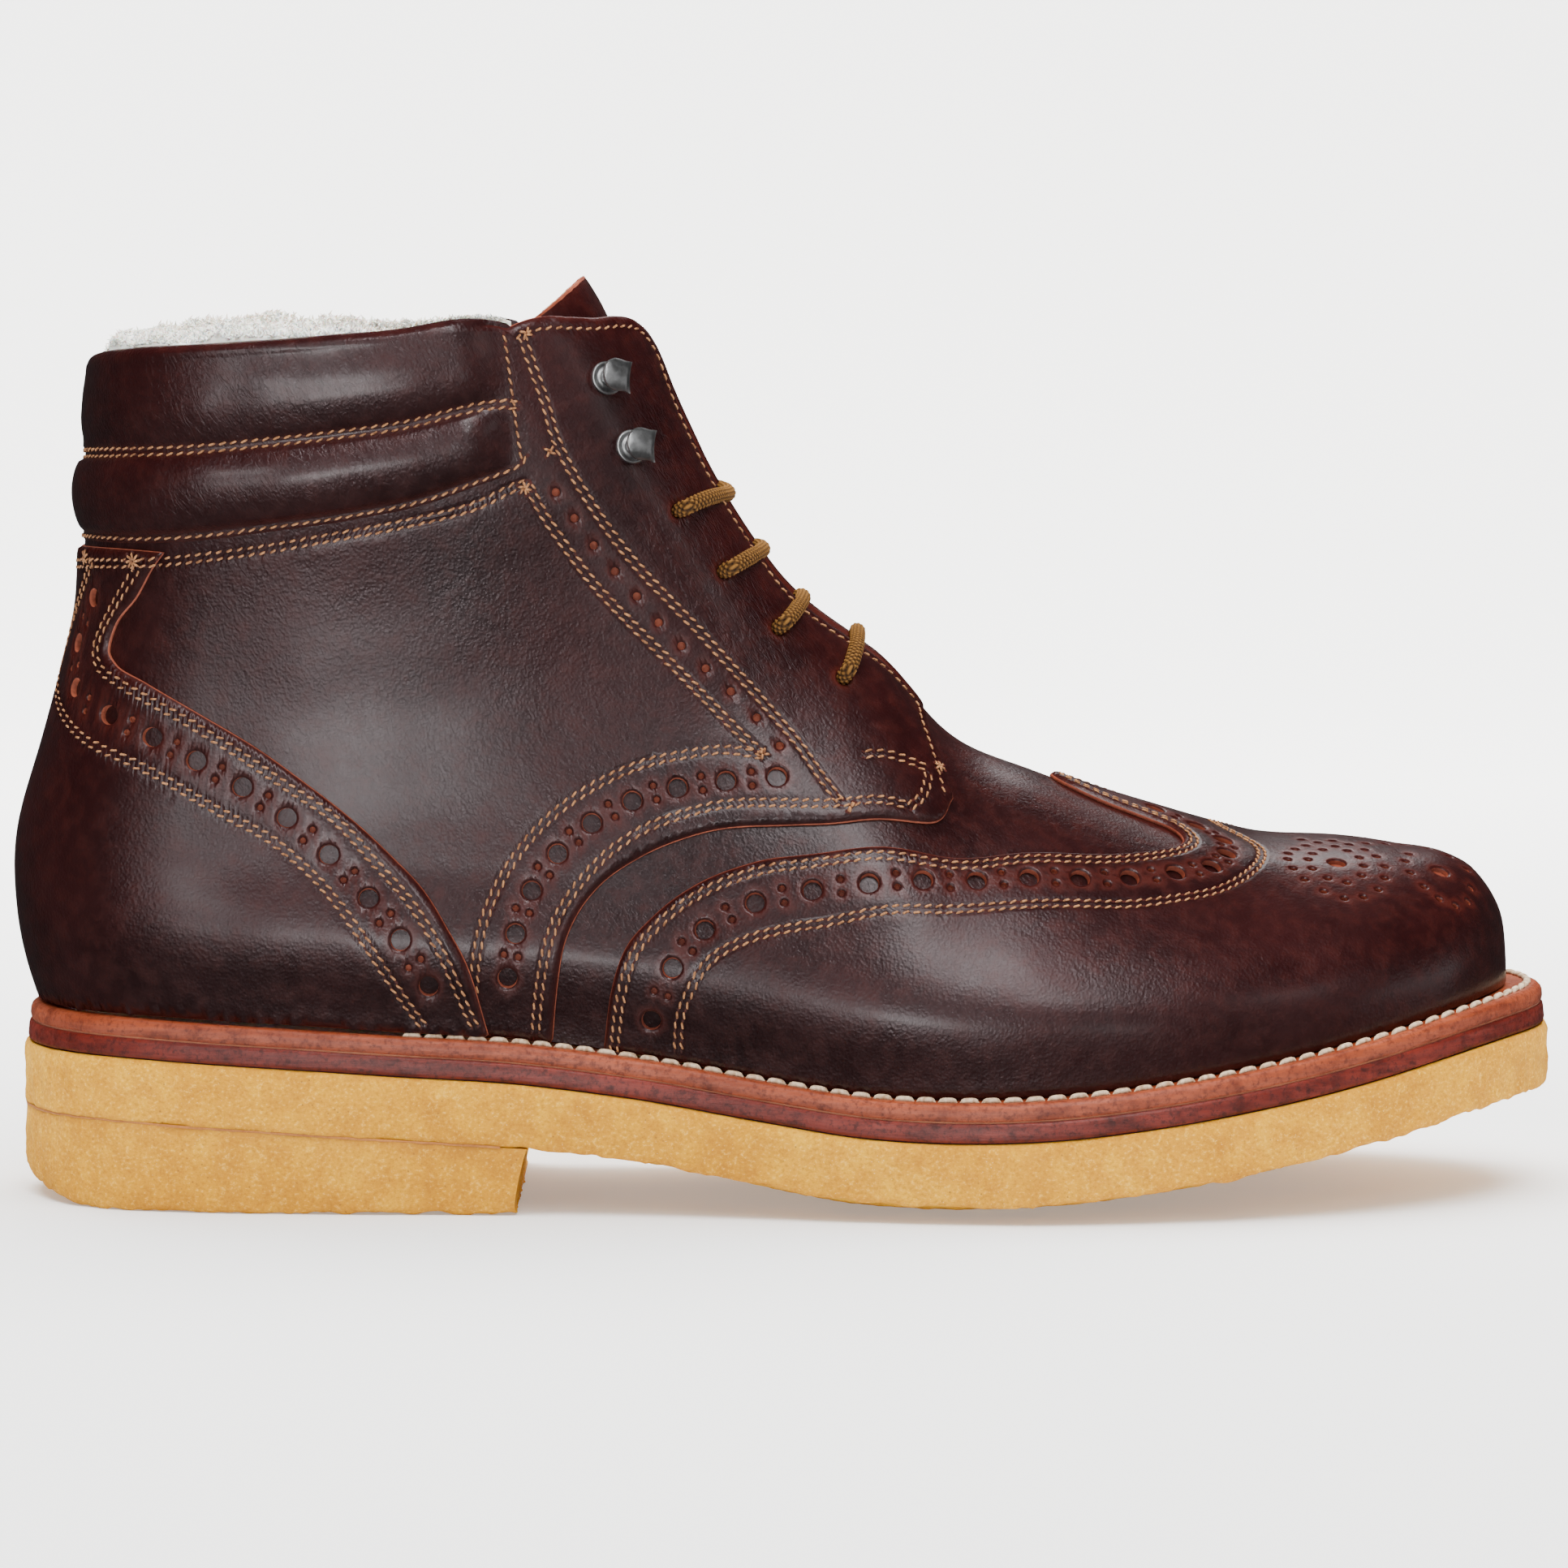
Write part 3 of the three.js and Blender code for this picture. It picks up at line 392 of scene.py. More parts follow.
def cut_piece(name, outline, holes, rows, top, low, raw, node, thick=None, crinkle=None):
    """A leather overlay cut to an outline, with punched holes and sunk stitch rows.
    holes are (station, rise angle, radius, floor), rows are lines, thick(line) says where the
    edge is folded leather, down to the lining, crinkle(points) how strong the creases are."""
    line = even(outline, .9, True)
    area = (line[:, 0] * np.roll(line[:, 1], -1) - np.roll(line[:, 0], -1) * line[:, 1]).sum()
    if area < 0:
        line = line[::-1]
    inner = shifted(line, SKIVE, True)
    brim = low + .45 * (top - low)
    parts, height = [line, inner], [np.full(len(line), brim), np.full(len(line), top - .2)]
    ring_ids, start = [], 2 * len(line)
    for t, p, r, _ in holes:
        k = 18 if r > 1.2 else 11
        ang = np.linspace(0, 2 * PI, k, endpoint=False)
        e1, e2 = axes(t, p)
        for rr, h in ((r, top - .34), (r + .32, top - .04), (r + .62, top)):
            ring = np.cos(ang)[:, None] * e1 * rr + np.sin(ang)[:, None] * e2 * rr
            parts.append(np.array([t, p]) + to_flat(np.full(k, t), np.full(k, p), ring))
            height.append(np.full(k, h))
        ring_ids.append((start, k))
        start += 3 * k
    fixed = start
    rows = [even(row, 1.05) for row in rows]
    centre3 = [last(*row.T) for row in rows]
    for i, row in enumerate(rows):
        others = tree(np.vstack(centre3[:i] + centre3[i + 1:]))
        for side, h in ((-1.0, top), (-.58, top - .02), (0, top - .26), (.58, top - .02), (1.0, top)):
            new = shifted(row, side) if side else row
            if abs(side) == 1:
                new = new[nearest(others, last(*new.T)) > .95]
            parts.append(new)
            height.append(np.full(len(new), h))
    made = np.vstack(parts)
    keep_rows = inside(line, made[fixed:])
    edge_tree = tree(last(*line.T))
    hole_pts = np.vstack([made[a + 2 * k:a + 3 * k] for a, k in ring_ids])
    hole_tree = tree(last(*hole_pts.T))
    rows3 = last(*made[fixed:].T)
    keep_rows &= (nearest(edge_tree, rows3) > .7) & (nearest(hole_tree, rows3) > .45)
    heights = np.concatenate(height)
    made = np.vstack([made[:fixed], made[fixed:][keep_rows]])
    heights = np.concatenate([heights[:fixed], heights[fixed:][keep_rows]])
    row_tree = tree(last(*made[fixed:].T))
    # inner points, about a cell apart on the leather
    lo, hi = line.min(0), line.max(0)
    cols = []
    t = lo[0]
    while t < hi[0]:
        ps = np.linspace(lo[1], hi[1], 60)
        arc = np.linalg.norm(np.diff(last(np.full(60, t), ps), axis=0), axis=1).sum()
        n = max(int(arc / CELL), 3)
        offset = .5 if len(cols) % 2 else 0
        cols.append(np.column_stack([np.full(n, t), lo[1] + (np.arange(n) + offset) / n * (hi[1] - lo[1])]))
        step = np.linalg.norm(last(t + .01, 1.0) - last(t, 1.0)) / .01
        t += CELL * .87 / max(step, 40)
    cells = np.vstack(cols)
    cells = cells[inside(line, cells)]
    c3 = last(*cells.T)
    ok = nearest(edge_tree, c3) > SKIVE + .5
    ok &= (nearest(hole_tree, c3) > .55) & (nearest(row_tree, c3) > .6)
    for t, p, r, _ in holes:
        ok &= np.linalg.norm(c3 - last(t, p), axis=1) > r + .7
    made = np.vstack([made, cells[ok]])
    heights = np.concatenate([heights, np.full(ok.sum(), top)])
    n = len(line)
    edges = [(i, (i + 1) % n) for i in range(n)]
    for a, k in ring_ids:
        edges += [(a + i, a + (i + 1) % k) for i in range(k)]
    res = delaunay_2d_cdt([Vector(v) for v in (made * STRETCH).tolist()], edges, [], 0, 1e-7, True)
    src = np.array([o[0] if o else -1 for o in res[3]])
    new = np.array([list(v) for v in res[0]]) / STRETCH
    h = np.where(src >= 0, heights[np.maximum(src, 0)], top)
    tri = np.array([f[:3] for f in res[2]])
    mid = new[tri].mean(1)
    good = inside(line, mid)
    owner = np.full(len(made) + 1, -1)
    for j, (a, k) in enumerate(ring_ids):
        owner[a:a + k] = j
    o3 = owner[src[tri]]
    good &= ~((o3[:, 0] >= 0) & (o3[:, 0] == o3[:, 1]) & (o3[:, 1] == o3[:, 2]))
    mid3 = last(*mid.T)
    for t, p, r, _ in holes:
        good &= np.linalg.norm(mid3 - last(t, p), axis=1) > r * .93
    tri = tri[good]
    a, b, c = (new[tri[:, k]] for k in range(3))
    turn = (b[:, 0] - a[:, 0]) * (c[:, 1] - a[:, 1]) - (b[:, 1] - a[:, 1]) * (c[:, 0] - a[:, 0])
    tri[turn < 0] = tri[turn < 0][:, ::-1]
    q3 = last(*new.T)
    wear_and_shade = np.maximum(.5 * np.exp(-nearest(edge_tree, q3) / .35), .6 * np.exp(-nearest(hole_tree, q3) / .4))
    s = Shape()
    s.points(place(*new.T, h), wear_and_shade, crinkle(new) if crinkle else 0.0)
    s.faces(tri)
    # cut edge and the walls of the holes
    folded = thick(line) if thick else np.zeros(len(line), bool)
    bottom = np.where(folded, -WALL + .2, low)
    out = shifted(line, -.12, True)
    fold = shifted(line, -.35, True)
    mid_line = np.where(folded[:, None], fold, out)
    ring = [place(*line.T, brim), place(*out.T, brim - .15),
            place(*mid_line.T, (brim - .15) * .4 + bottom * .6), place(*line.T, bottom)]
    q = quads(closed(s.points(np.array(ring), 1.0) + np.arange(4 * n).reshape(4, n)))
    whole = np.tile(folded, 3)
    s.faces(q[~whole], 1)
    s.faces(q[whole], 0)
    for (a, k), (t, p, r, floor) in zip(ring_ids, holes):
        ring = made[a:a + k]
        mid_point = np.array([t, p])
        low_ring = mid_point + (ring - mid_point) * .93
        base = top - 1.25 if floor else .06
        levels = np.array([place(*ring.T, top - .34), place(*low_ring.T, base + .1)])
        q = quads(closed(s.points(levels, 1.0) + np.arange(2 * k).reshape(2, k)))
        s.faces(q[:, ::-1], 1)
        if floor:
            c = s.points(place(t, p, base - .1), 1.0)
            f = s.points(levels[1], 1.0)
            s.faces([[c, f + j, f + (j + 1) % k] for j in range(k)], 1)
    s.make(name, [UPPER, raw], "upper_leather", [node])


# ---- materials ----
class Look:
    def __init__(s, name):
        s.m = bpy.data.materials.new(name)
        s.m.use_nodes = True
        s.t = s.m.node_tree
        s.t.nodes.clear()
        out = s.t.nodes.new("ShaderNodeOutputMaterial")
        s.p = s.t.nodes.new("ShaderNodeBsdfPrincipled")
        s.t.links.new(s.p.outputs[0], out.inputs[0])
        s.at = s.t.nodes.new("ShaderNodeTexCoord").outputs["Object"]

    def put(s, socket, value):
        if isinstance(value, bpy.types.NodeSocket):
            s.t.links.new(value, socket)
        elif isinstance(value, tuple) and len(value) == 3 and socket.type == "RGBA":
            socket.default_value = (*value, 1)
        else:
            socket.default_value = value

    def set(s, **values):
        for key, value in values.items():
            s.put(s.p.inputs[key.replace("_", " ")], value)

    def node(s, kind, out=0, props=(), **inputs):
        n = s.t.nodes.new("ShaderNode" + kind)
        for k, v in props:
            setattr(n, k, v)
        for k, v in inputs.items():
            s.put(n.inputs[k.replace("_", " ")], v)
        return n.outputs[out]

    def spread(s, x, y, z):
        return s.node("Mapping", Vector=s.at, Scale=(x, y, z))

    def noise(s, scale, detail=3.0, rough=.5, at=None, bend=0.0):
        return s.node("TexNoise", 0, Vector=at or s.at, Scale=scale, Detail=detail, Roughness=rough,
                      Distortion=bend)

    def cells(s, scale, feature="F1", at=None):
        return s.node("TexVoronoi", 0, [("feature", feature)], Vector=at or s.at, Scale=scale)

    def ramp(s, fac, *stops):
        n = s.t.nodes.new("ShaderNodeValToRGB")
        s.put(n.inputs[0], fac)
        while len(n.color_ramp.elements) < len(stops):
            n.color_ramp.elements.new(.5)
        for e, (at, c) in zip(n.color_ramp.elements, stops):
            e.position = at
            e.color = (*c, 1) if isinstance(c, tuple) else (c, c, c, 1)
        return n.outputs[0]

    def fill(s, kind, out, props, *inputs):
        n = s.t.nodes.new("ShaderNode" + kind)
        for k, v in props.items():
            setattr(n, k, v)
        for k, v in inputs:
            s.put(n.inputs[k], v)
        return n.outputs[out]

    def mix(s, fac, a, b):
        return s.fill("Mix", 2, {"data_type": "RGBA"}, (0, fac), (6, a), (7, b))

    def calc(s, op, a, b):
        return s.fill("Math", 0, {"operation": op}, (0, a), (1, b))

    def times(s, a, b):
        return s.calc("MULTIPLY", a, b)

    def mark(s, name):
        return s.node("Attribute", 2, [("attribute_name", name)])

    def bump(s, height, strength, distance, after=None):
        return s.node("Bump", Strength=strength, Distance=distance, Height=height,
                      **({} if after is None else {"Normal": after}))


def leather(name, dark, mid, warm, rough=(.3, .44), coat=.25):
    """Waxed smooth leather: clouded colour, rubbed where marked wear, creased where marked grain."""
    k = Look(name)
    big, small = k.noise(17, 4, .55), k.noise(75, 5, .6)
    tone = k.mix(.35, big, small)
    colour = k.ramp(tone, (.36, dark), (.62, mid))
    streak = k.noise(320, 4, .65)
    colour = k.mix(k.ramp(streak, (.45, 0.0), (.8, .35)), colour, warm)
    colour = k.mix(k.times(k.mark("wear_and_shade"), .75), colour, warm)
    turned = k.node("Mapping", Vector=k.at, Rotation=(0, .55, 0))
    folds = k.noise(640, 3, .6, at=k.node("Mapping", Vector=turned, Scale=(1, 1, .33)), bend=.5)
    crease = k.ramp(folds, (.40, 0.0), (.5, 1.0), (.60, 0.0))
    crease = k.times(crease, k.calc("ADD", k.mark("grain"), .03))
    k.set(Base_Color=colour, Roughness=k.ramp(k.mix(.5, small, streak), (.35, rough[0]), (.7, rough[1])),
          Coat_Weight=coat, Coat_Roughness=.22, Specular_IOR_Level=.55, Specular_Tint=(1, .86, .89))
    b = k.bump(k.cells(1500), .315, .00016)
    b = k.bump(k.noise(2600, 2), .175, .0001, b)
    b = k.bump(k.noise(1100, 2, .5, bend=.6), .245, .00022, b)
    b = k.bump(crease, .6, -.00018, b)
    k.set(Normal=k.bump(k.noise(160, 3, .6), .25, .0005, b))
    return k.m


def raw_leather(name, pale, dark):
    """Cut or skived leather, dull and fibrous."""
    k = Look(name)
    fibre = k.noise(1100, 4, .7)
    colour = k.ramp(k.mix(.5, fibre, k.noise(160, 3)), (.35, dark), (.65, pale))
    k.set(Base_Color=colour, Roughness=.75, Normal=k.bump(fibre, .5, .0002))
    return k.m


def edge_leather(name, low, high, darkening):
    """The cut side of a sole or welt layer: fibres along the edge, darker burnished patches."""
    k = Look(name)
    lines = k.noise(1, 5, .65, at=k.spread(70, 70, 700))
    spots = k.noise(900, 4, .7)
    soft = k.noise(38, 4, .6)
    colour = k.ramp(k.mix(.4, lines, soft), (.36, low), (.64, high))
    colour = k.mix(k.ramp(spots, (.50, 0.0), (.64, .7)), colour, darkening)
    colour = k.mix(k.ramp(k.noise(240, 5, .7), (.50, 0.0), (.68, .65)), colour, darkening)
    b = k.bump(lines, .6, .0004)
    b = k.bump(spots, .6, .0002, b)
    k.set(Base_Color=colour, Roughness=k.ramp(spots, (.3, .3), (.7, .55)),
          Coat_Weight=.15, Coat_Roughness=.3, Normal=b)
    return k.m


def crepe_rubber():
    k = Look("crepe_rubber")
    cloud, cloud2 = k.noise(48, 5, .62), k.noise(190, 4, .65)
    colour = k.ramp(k.mix(.45, cloud, cloud2), (.30, (.46, .185, .002)), (.5, (.62, .285, .003)),
                    (.70, (.76, .40, .012)))
    crumb = k.noise(1250, 3, .65, at=k.spread(1, 1, 1.25))
    colour = k.mix(k.ramp(crumb, (.36, .5), (.48, 0.0)), colour, (.40, .15, .003))
    colour = k.mix(k.ramp(crumb, (.55, 0.0), (.70, .55)), colour, (.92, .58, .10))
    specks = k.cells(620)
    dots = k.ramp(specks, (.05, 1.0), (.16, 0.0))
    gate = k.ramp(k.noise(120, 2), (.5, 0.0), (.6, .8))
    colour = k.mix(k.times(dots, gate), colour, (.22, .085, .02))
    pale = k.ramp(k.cells(900, at=k.spread(1, 1, 1.3)), (.04, 1.0), (.12, 0.0))
    gate2 = k.ramp(k.noise(90, 2, at=k.spread(1, 1.2, 1)), (.52, 0.0), (.62, .7))
    colour = k.mix(k.times(pale, gate2), colour, (.88, .72, .40))
    # darker brown where marked, at the top and bottom of the side walls
    colour = k.mix(k.times(k.mark("wear_and_shade"), .6), colour, (.36, .135, .02))
    b = k.bump(k.noise(420, 5, .7), .6, .0006)
    b = k.bump(k.noise(1700, 3, .6), .45, .0002, b)
    b = k.bump(k.cells(800, "SMOOTH_F1"), .3, .0003, b)
    k.set(Base_Color=colour, Roughness=k.ramp(cloud2, (.35, .5), (.65, .72)), Subsurface_Weight=.22,
          Subsurface_Scale=.002, Subsurface_Radius=(1.0, .6, .2), Specular_IOR_Level=.25,
          Normal=b)
    return k.m


def thread(name, pale, dark, scale=1500):
    k = Look(name)
    twist = k.noise(scale, 2, .5, at=k.spread(1.0, 1.0, .35))
    k.set(Base_Color=k.ramp(twist, (.3, dark), (.62, pale)), Roughness=.6,
          Normal=k.bump(twist, .5, .00015))
    return k.m


def braid_cloth():
    k = Look("lace_braid")
    fibre = k.noise(2400, 2)
    # the colour follows the braid's height: the low gaps between the strands are painted near black as painted shade,
    # and the strand crowns are paler
    colour = k.ramp(k.mark("wear_and_shade"), (.25, (.006, .002, .001)), (.6, (.055, .024, .005)), (1.0, (.20, .092, .020)))
    colour = k.mix(k.ramp(fibre, (.4, 0.0), (.75, .25)), colour, (.22, .10, .03))
    k.set(Base_Color=colour, Roughness=.8, Specular_IOR_Level=.2,
          Normal=k.bump(fibre, .5, .0001))
    return k.m


def wool_cloth():
    k = Look("wool_pile")
    clump = k.noise(260, 3)
    k.set(Base_Color=k.ramp(clump, (.3, (.96, .89, .78)), (.7, (1.0, .97, .90))), Roughness=.9,
          Sheen_Weight=.2, Subsurface_Weight=.3, Subsurface_Scale=.002,
          Normal=k.bump(k.noise(900, 3), .6, .0004))
    return k.m


def dark_nickel():
    k = Look("antique_nickel")
    patch = k.noise(420, 4, .6)
    worn = k.times(k.mark("wear_and_shade"), k.ramp(patch, (.3, .55), (.7, 1.0)))
    colour = k.mix(worn, k.ramp(patch, (.35, (.30, .303, .308)), (.7, (.62, .623, .628))), (.90, .90, .89))
    k.set(Base_Color=colour, Metallic=1.0, Roughness=k.ramp(patch, (.3, .36), (.7, .52)),
          Normal=k.bump(patch, .3, .00015))
    return k.m


UPPER = leather("burgundy_leather", (.0066, .0011, .0013), (.0190, .0023, .0023), (.060, .0086, .0047))
COLLAR = leather("collar_leather", (.0062, .0011, .0013), (.0175, .0022, .0022), (.054, .0081, .0046), (.30, .42), .35)
RAW = raw_leather("cut_edge", (.30, .075, .036), (.13, .026, .013))
# needle hole colour: the raw red of pierced leather, darkened with painted shade for the holes' depth
PRICK = raw_leather("needle_hole", (.060, .0075, .004), (.012, .0018, .0014))
PUNCH = raw_leather("punched_flesh", (.23, .050, .022), (.11, .020, .010))
WELT_EDGE = edge_leather("welt_edge", (.17, .028, .009), (.30, .060, .020), (.075, .010, .004))
MID_EDGE = edge_leather("midsole_edge", (.075, .0060, .0034), (.17, .017, .0085), (.030, .0035, .0025))
GLUE = raw_leather("glue_line", (.50, .20, .045), (.30, .10, .020))
PALE_LINE = raw_leather("pale_line", (.32, .11, .05), (.20, .06, .03))
CREPE = crepe_rubber()
THREAD = thread("gold_thread", (.36, .165, .066), (.13, .045, .016))
WELT_THREAD = thread("welt_thread", (.62, .47, .32), (.33, .20, .11), 1200)
BRAID = braid_cloth()
WOOL = wool_cloth()
NICKEL = dark_nickel()

# ---- pattern lines: share of the last's length, rise angle as a share of a right angle ----
COLLAR_LINE = pairs("""0 .436 .03 .441 .0935 .45 .1891 .473 .2481 .499 .3164 .565 .3553 .655""")
FACING_CORNER = pairs(".3553 .655 .3655 .684 .3747 .7154 .3883 .781 .3985 .840 .408 .884 .415 .898 .4191 .892")
THROAT_LINE = pairs(""".4191 .892 .4295 .853 .44 .838 .49 .824 .5187 .82 .5522 .838 .58 .885 .5961 .88 .6017 .79
.6091 .7 .6173 .605""")
QUARTER_LINE = pairs(""".6173 .605 .604 .505 .5477 .393 .5096 .339 .471 .28 .4318 .215 .4056 .174
.3794 .134 .3636 .103 .355 .077 .3508 .049 .3466 0""")
WING_LINE = pairs(""".382 0 .3876 .053 .3967 .09 .4162 .13 .4452 .185 .4713 .232 .4968 .276
.5359 .331 .5875 .407 .6582 .515 .7215 .583 .7514 .632 .7698 .68 .7772 .731 .774 .788 .7659 .821
.7481 .85 .722 .885 .6951 .94 .689 1""")
COUNTER_LINE = pairs(""".0636 .297 .0556 .286 .0447 .265 .0318 .244 .0305 .229 .0376 .219 .0636 .208
.105 .192 .1456 .175 .177 .158 .2089 .138 .2348 .118 .2587 .096 .2758 .073 .2908 .049 .3052 0""")
PAD_LINE = pairs("0 .304 .0599 .306 .1333 .32 .2172 .344 .2685 .373 .3233 .437 .3317 .462")
VAMP_SLOT = pairs(""".3164 .558 .3553 .635 .3888 .755 .4018 .808 .412 .822 .44 .815 .49 .8 .5187 .795
.5522 .812 .58 .86 .595 .93 .603 1""")
STRIP_FRONT = pairs(""".3249 .572 .3331 .547 .3419 .521 .3470 .500 .3560 .483 .3708 .468 .3870 .459
.4062 .457 .4273 .465 .448 .475 .4821 .482 .5089 .469 .5251 .441 .5411 .412""")
STRIP_REAR = pairs(""".3299 .43 .3402 .414 .3548 .402 .3711 .392 .3858 .388 .4027 .388 .4191 .391
.4437 .396 .4646 .4 .4794 .401 .4894 .402""")
STRIP_HOLES = pairs(""".3487 .444 .3612 .436 .3742 .428 .3884 .424 .4031 .423 .4178 .422 .4331 .427
.4495 .436 .4665 .445 .4841 .448 .4997 .438""")
BAND_UP = pairs(""".4894 .402 .4676 .368 .4312 .299 .3947 .24 .3658 .198 .3451 .168 .3244 .134
.3114 .108 .3012 .08 .2955 .05 .2935 .01""")
BAND_LOW = pairs(""".5845 .484 .5720 .466 .5411 .412 .5046 .361 .4708 .307 .4316 .238 .4055 .196 .3793 .153
.3613 .119 .3494 .092 .342 .063 .338 .034 .3361 .01""")
BAND_HOLES = pairs(""".4983 .389 .4641 .324 .4314 .267 .4009 .22 .3736 .18 .3507 .144 .3333 .11
.3226 .077 .3173 .046""")
TAB_A = pairs(".5560 .523 .5720 .560 .5980 .612")
TAB_B = pairs(".5990 .606 .5960 .540 .5860 .484")
QUARTER_TOP = pairs("""0 .284 .04 .288 .076 .293 .1619 .313 .2434 .343 .2922 .378 .3299 .43""")
WING_LOW = pairs(""".4325 .014 .4337 .046 .4402 .075 .4531 .113 .4737 .149 .5053 .194 .5363 .231
.5878 .303 .6336 .366 .6914 .414 .7354 .442 .7649 .474 .7948 .521 .8166 .597 .8289 .688
.8304 .78 .8208 .861 .8080 .93 .8000 1""")
WING_HOLES = pairs(""".4145 .037 .4286 .091 .4502 .143 .4841 .206 .5226 .262 .5604 .309 .5962 .368
.6326 .424 .6682 .460 .7026 .488 .7365 .52 .768 .564 .7936 .615 .8055 .695 .8052 .787 .7879 .862
.7600 .930""")
COUNTER_IN = pairs(""".0473 .286 .0287 .251 .0236 .229 .0285 .217 .0463 .207 .093 .189 .1342 .171
.1729 .151 .2044 .133 .2328 .105 .2562 .08 .2761 .052 .2954 .01""")
COUNTER_LOW = pairs(""".0141 .289 .0063 .265 .0010 .235 .0002 .213 .0023 .199 .0136 .182 .0342 .168
.0629 .159 .0893 .15 .1284 .133 .1644 .117 .1876 .099 .2099 .075 .2331 .046 .2607 .008""")
COUNTER_HOLES = pairs(""".0154 .262 .0094 .23 .0159 .201 .0442 .186 .076 .175 .1085 .163 .1418 .149
.1725 .132 .2 .111 .2252 .085 .2458 .062 .2645 .036""")
ROSETTE = pairs(""".8622 .898 .8642 .831 .8558 .794 .8499 .752 .8487 .707 .8513 .653 .8584 .599
.8707 .545 .8844 .512 .8977 .517 .9084 .554 .9141 .615 .9158 .689 .9115 .762 .9047 .814 .8947 .859
.8839 .891 .8731 .867 .875 .794 .8672 .757 .8631 .711 .8648 .654 .8746 .604 .8876 .583 .8982 .62
.901 .679 .8992 .738 .8921 .79 .8843 .83 .9071 .891 .9209 .93 .9345 .972 .9351 .835 .9313 .759
.933 .673 .9407 .597 .9505 .54 .9615 .518 .9708 .568 .974 .684 .9722 .836 .9624 .924 .9502 .978""")
ROSETTE_BIG = pairs(".8828 .692 .9541 .725")
# share and rise of the holes, share where the lace crosses the middle, how far it hangs there
LACES = pairs(".4298 .602 .4705 -1.9 .4604 .616 .495 -2.3 .4973 .646 .5227 -2.7 .542 .662 .5556 -.7", 4)
HOOKS = pairs(".3812 .639 .3985 .593")


def double(line, gap=.7):
    return [shifted(even(line, 1.0), gap), shifted(even(line, 1.0), -gap)]


def as_holes(points, r, floor=0):
    return [(float(station(s)), float(p * PI / 2), r, floor) for s, p in points]


def small_pairs(points, r, apart):
    """Two small holes across the row, half way between each two large ones."""
    line = curve(points, 8)
    half = line[4::8][:len(points) - 1]
    out = []
    for side in (apart, -apart):
        at = shifted(line, side)[4::8][:len(half)]
        out += [(float(t), float(p), r, 1) for t, p in at]
    return out


def mirror_holes(holes):
    return [(t, PI - p, r, f) for t, p, r, f in holes]


# ---- the upper ----
quarter_edge = curve(QUARTER_LINE)[::-1]
throat_edge = np.vstack([curve(THROAT_LINE)[::-1], curve(FACING_CORNER)[::-1][1:],
                         curve(COLLAR_LINE[5:])[::-1][1:]])
quarter_outline = np.vstack([
    [[.004, LIFT], [quarter_edge[0, 0], LIFT]], quarter_edge[1:], throat_edge[1:],
    curve(COLLAR_LINE[:6])[::-1][1:-1], [[.004, COLLAR_LINE[0, 1] * PI / 2]]])
facing_row = shifted(even(throat_edge, 1.0), 2.4)
quarter_rows = [facing_row] + [r for line in (STRIP_FRONT, STRIP_REAR, BAND_UP, BAND_LOW, TAB_A, TAB_B,
                                              QUARTER_TOP) for r in double(curve(line))]
quarter_holes = (as_holes(BAND_HOLES, 2.0) + small_pairs(BAND_HOLES, .62, 1.45)
                 + as_holes(STRIP_HOLES, .82, 1) + as_holes(LACES[:, :2], 1.5))
wing_edge = curve(WING_LINE)
wing_outline = np.vstack([[[PI - .01, LIFT], [wing_edge[0, 0], LIFT]], wing_edge[1:],
                          mirror(wing_edge)[1:-1], [[wing_edge[0, 0], PI - LIFT], [PI - .01, PI - LIFT]]])
wing_full = np.vstack([wing_edge, mirror(wing_edge)[1:]])
wing_low = np.vstack([curve(WING_LOW), mirror(curve(WING_LOW))[1:]])
wing_rows = [shifted(even(wing_full, 1.0), -1.35), shifted(even(wing_full, 1.0), -2.75)] + double(wing_low)
side_wing = as_holes(WING_HOLES, 2.0) + small_pairs(WING_HOLES, .62, 1.45)
toe_holes = as_holes(ROSETTE, .68, 1) + as_holes(ROSETTE_BIG, 1.75, 1)
counter_edge = curve(COUNTER_LINE)[::-1]
counter_outline = np.vstack([[[-counter_edge[0, 0], LIFT], [counter_edge[0, 0], LIFT]],
                             counter_edge[1:], mirror_heel(counter_edge)[:-1]])
counter_side = [curve(COUNTER_IN), curve(COUNTER_LOW)]
counter_rows = [r for line in counter_side for r in double(line) + double(mirror_heel(line))]
top_line = curve(np.vstack([QUARTER_TOP[:2], [.0605, .2905]]))
counter_rows += double(np.vstack([mirror_heel(top_line)[:-1], top_line]))
side_counter = as_holes(COUNTER_HOLES, 2.0) + small_pairs(COUNTER_HOLES, .62, 1.45)
counter_holes = side_counter + [(-t, p, r, f) for t, p, r, f in side_counter]


def throat_mask(line):
    """Where the quarter's edge is the open throat."""
    return (line[:, 0] > station(.3400)) & (np.abs(line[:, 1] - PI / 2) < .394 * PI / 2)


def facing_grain(q):
    """How crinkled the leather is: strong between the strip and the laces."""
    p = np.where(q[:, 1] > PI / 2, PI - q[:, 1], q[:, 1]) / (PI / 2)
    s = share_at(q[:, 0])
    front = curve(STRIP_FRONT)
    edge = np.interp(q[:, 0], front[:, 0], front[:, 1] / (PI / 2))
    inside_facing = smooth(0, .03, p - edge) * smooth(.37, .44, s) * (1 - smooth(.47, .545, s))
    return .12 + .88 * inside_facing


THROAT_END = station(.603)


def skin():
    rim = COLLAR_LINE[:5].copy()
    rim[:, 1] -= .005
    edge = curve(np.vstack([rim, VAMP_SLOT]))
    order = np.argsort(edge[:, 0])
    t = np.linspace(-PI, PI, 601)[:, None]
    top = np.where(np.abs(t) > THROAT_END, PI / 2, np.interp(np.abs(t), edge[order, 0], edge[order, 1]))
    s = Shape()
    s.grid(place(t, LIFT + (top - LIFT) * np.linspace(0, 1, 97), 0.0), grain=.15)
    s.make("upper_skin", [UPPER], "upper_leather", ["upper"], weld=.02)


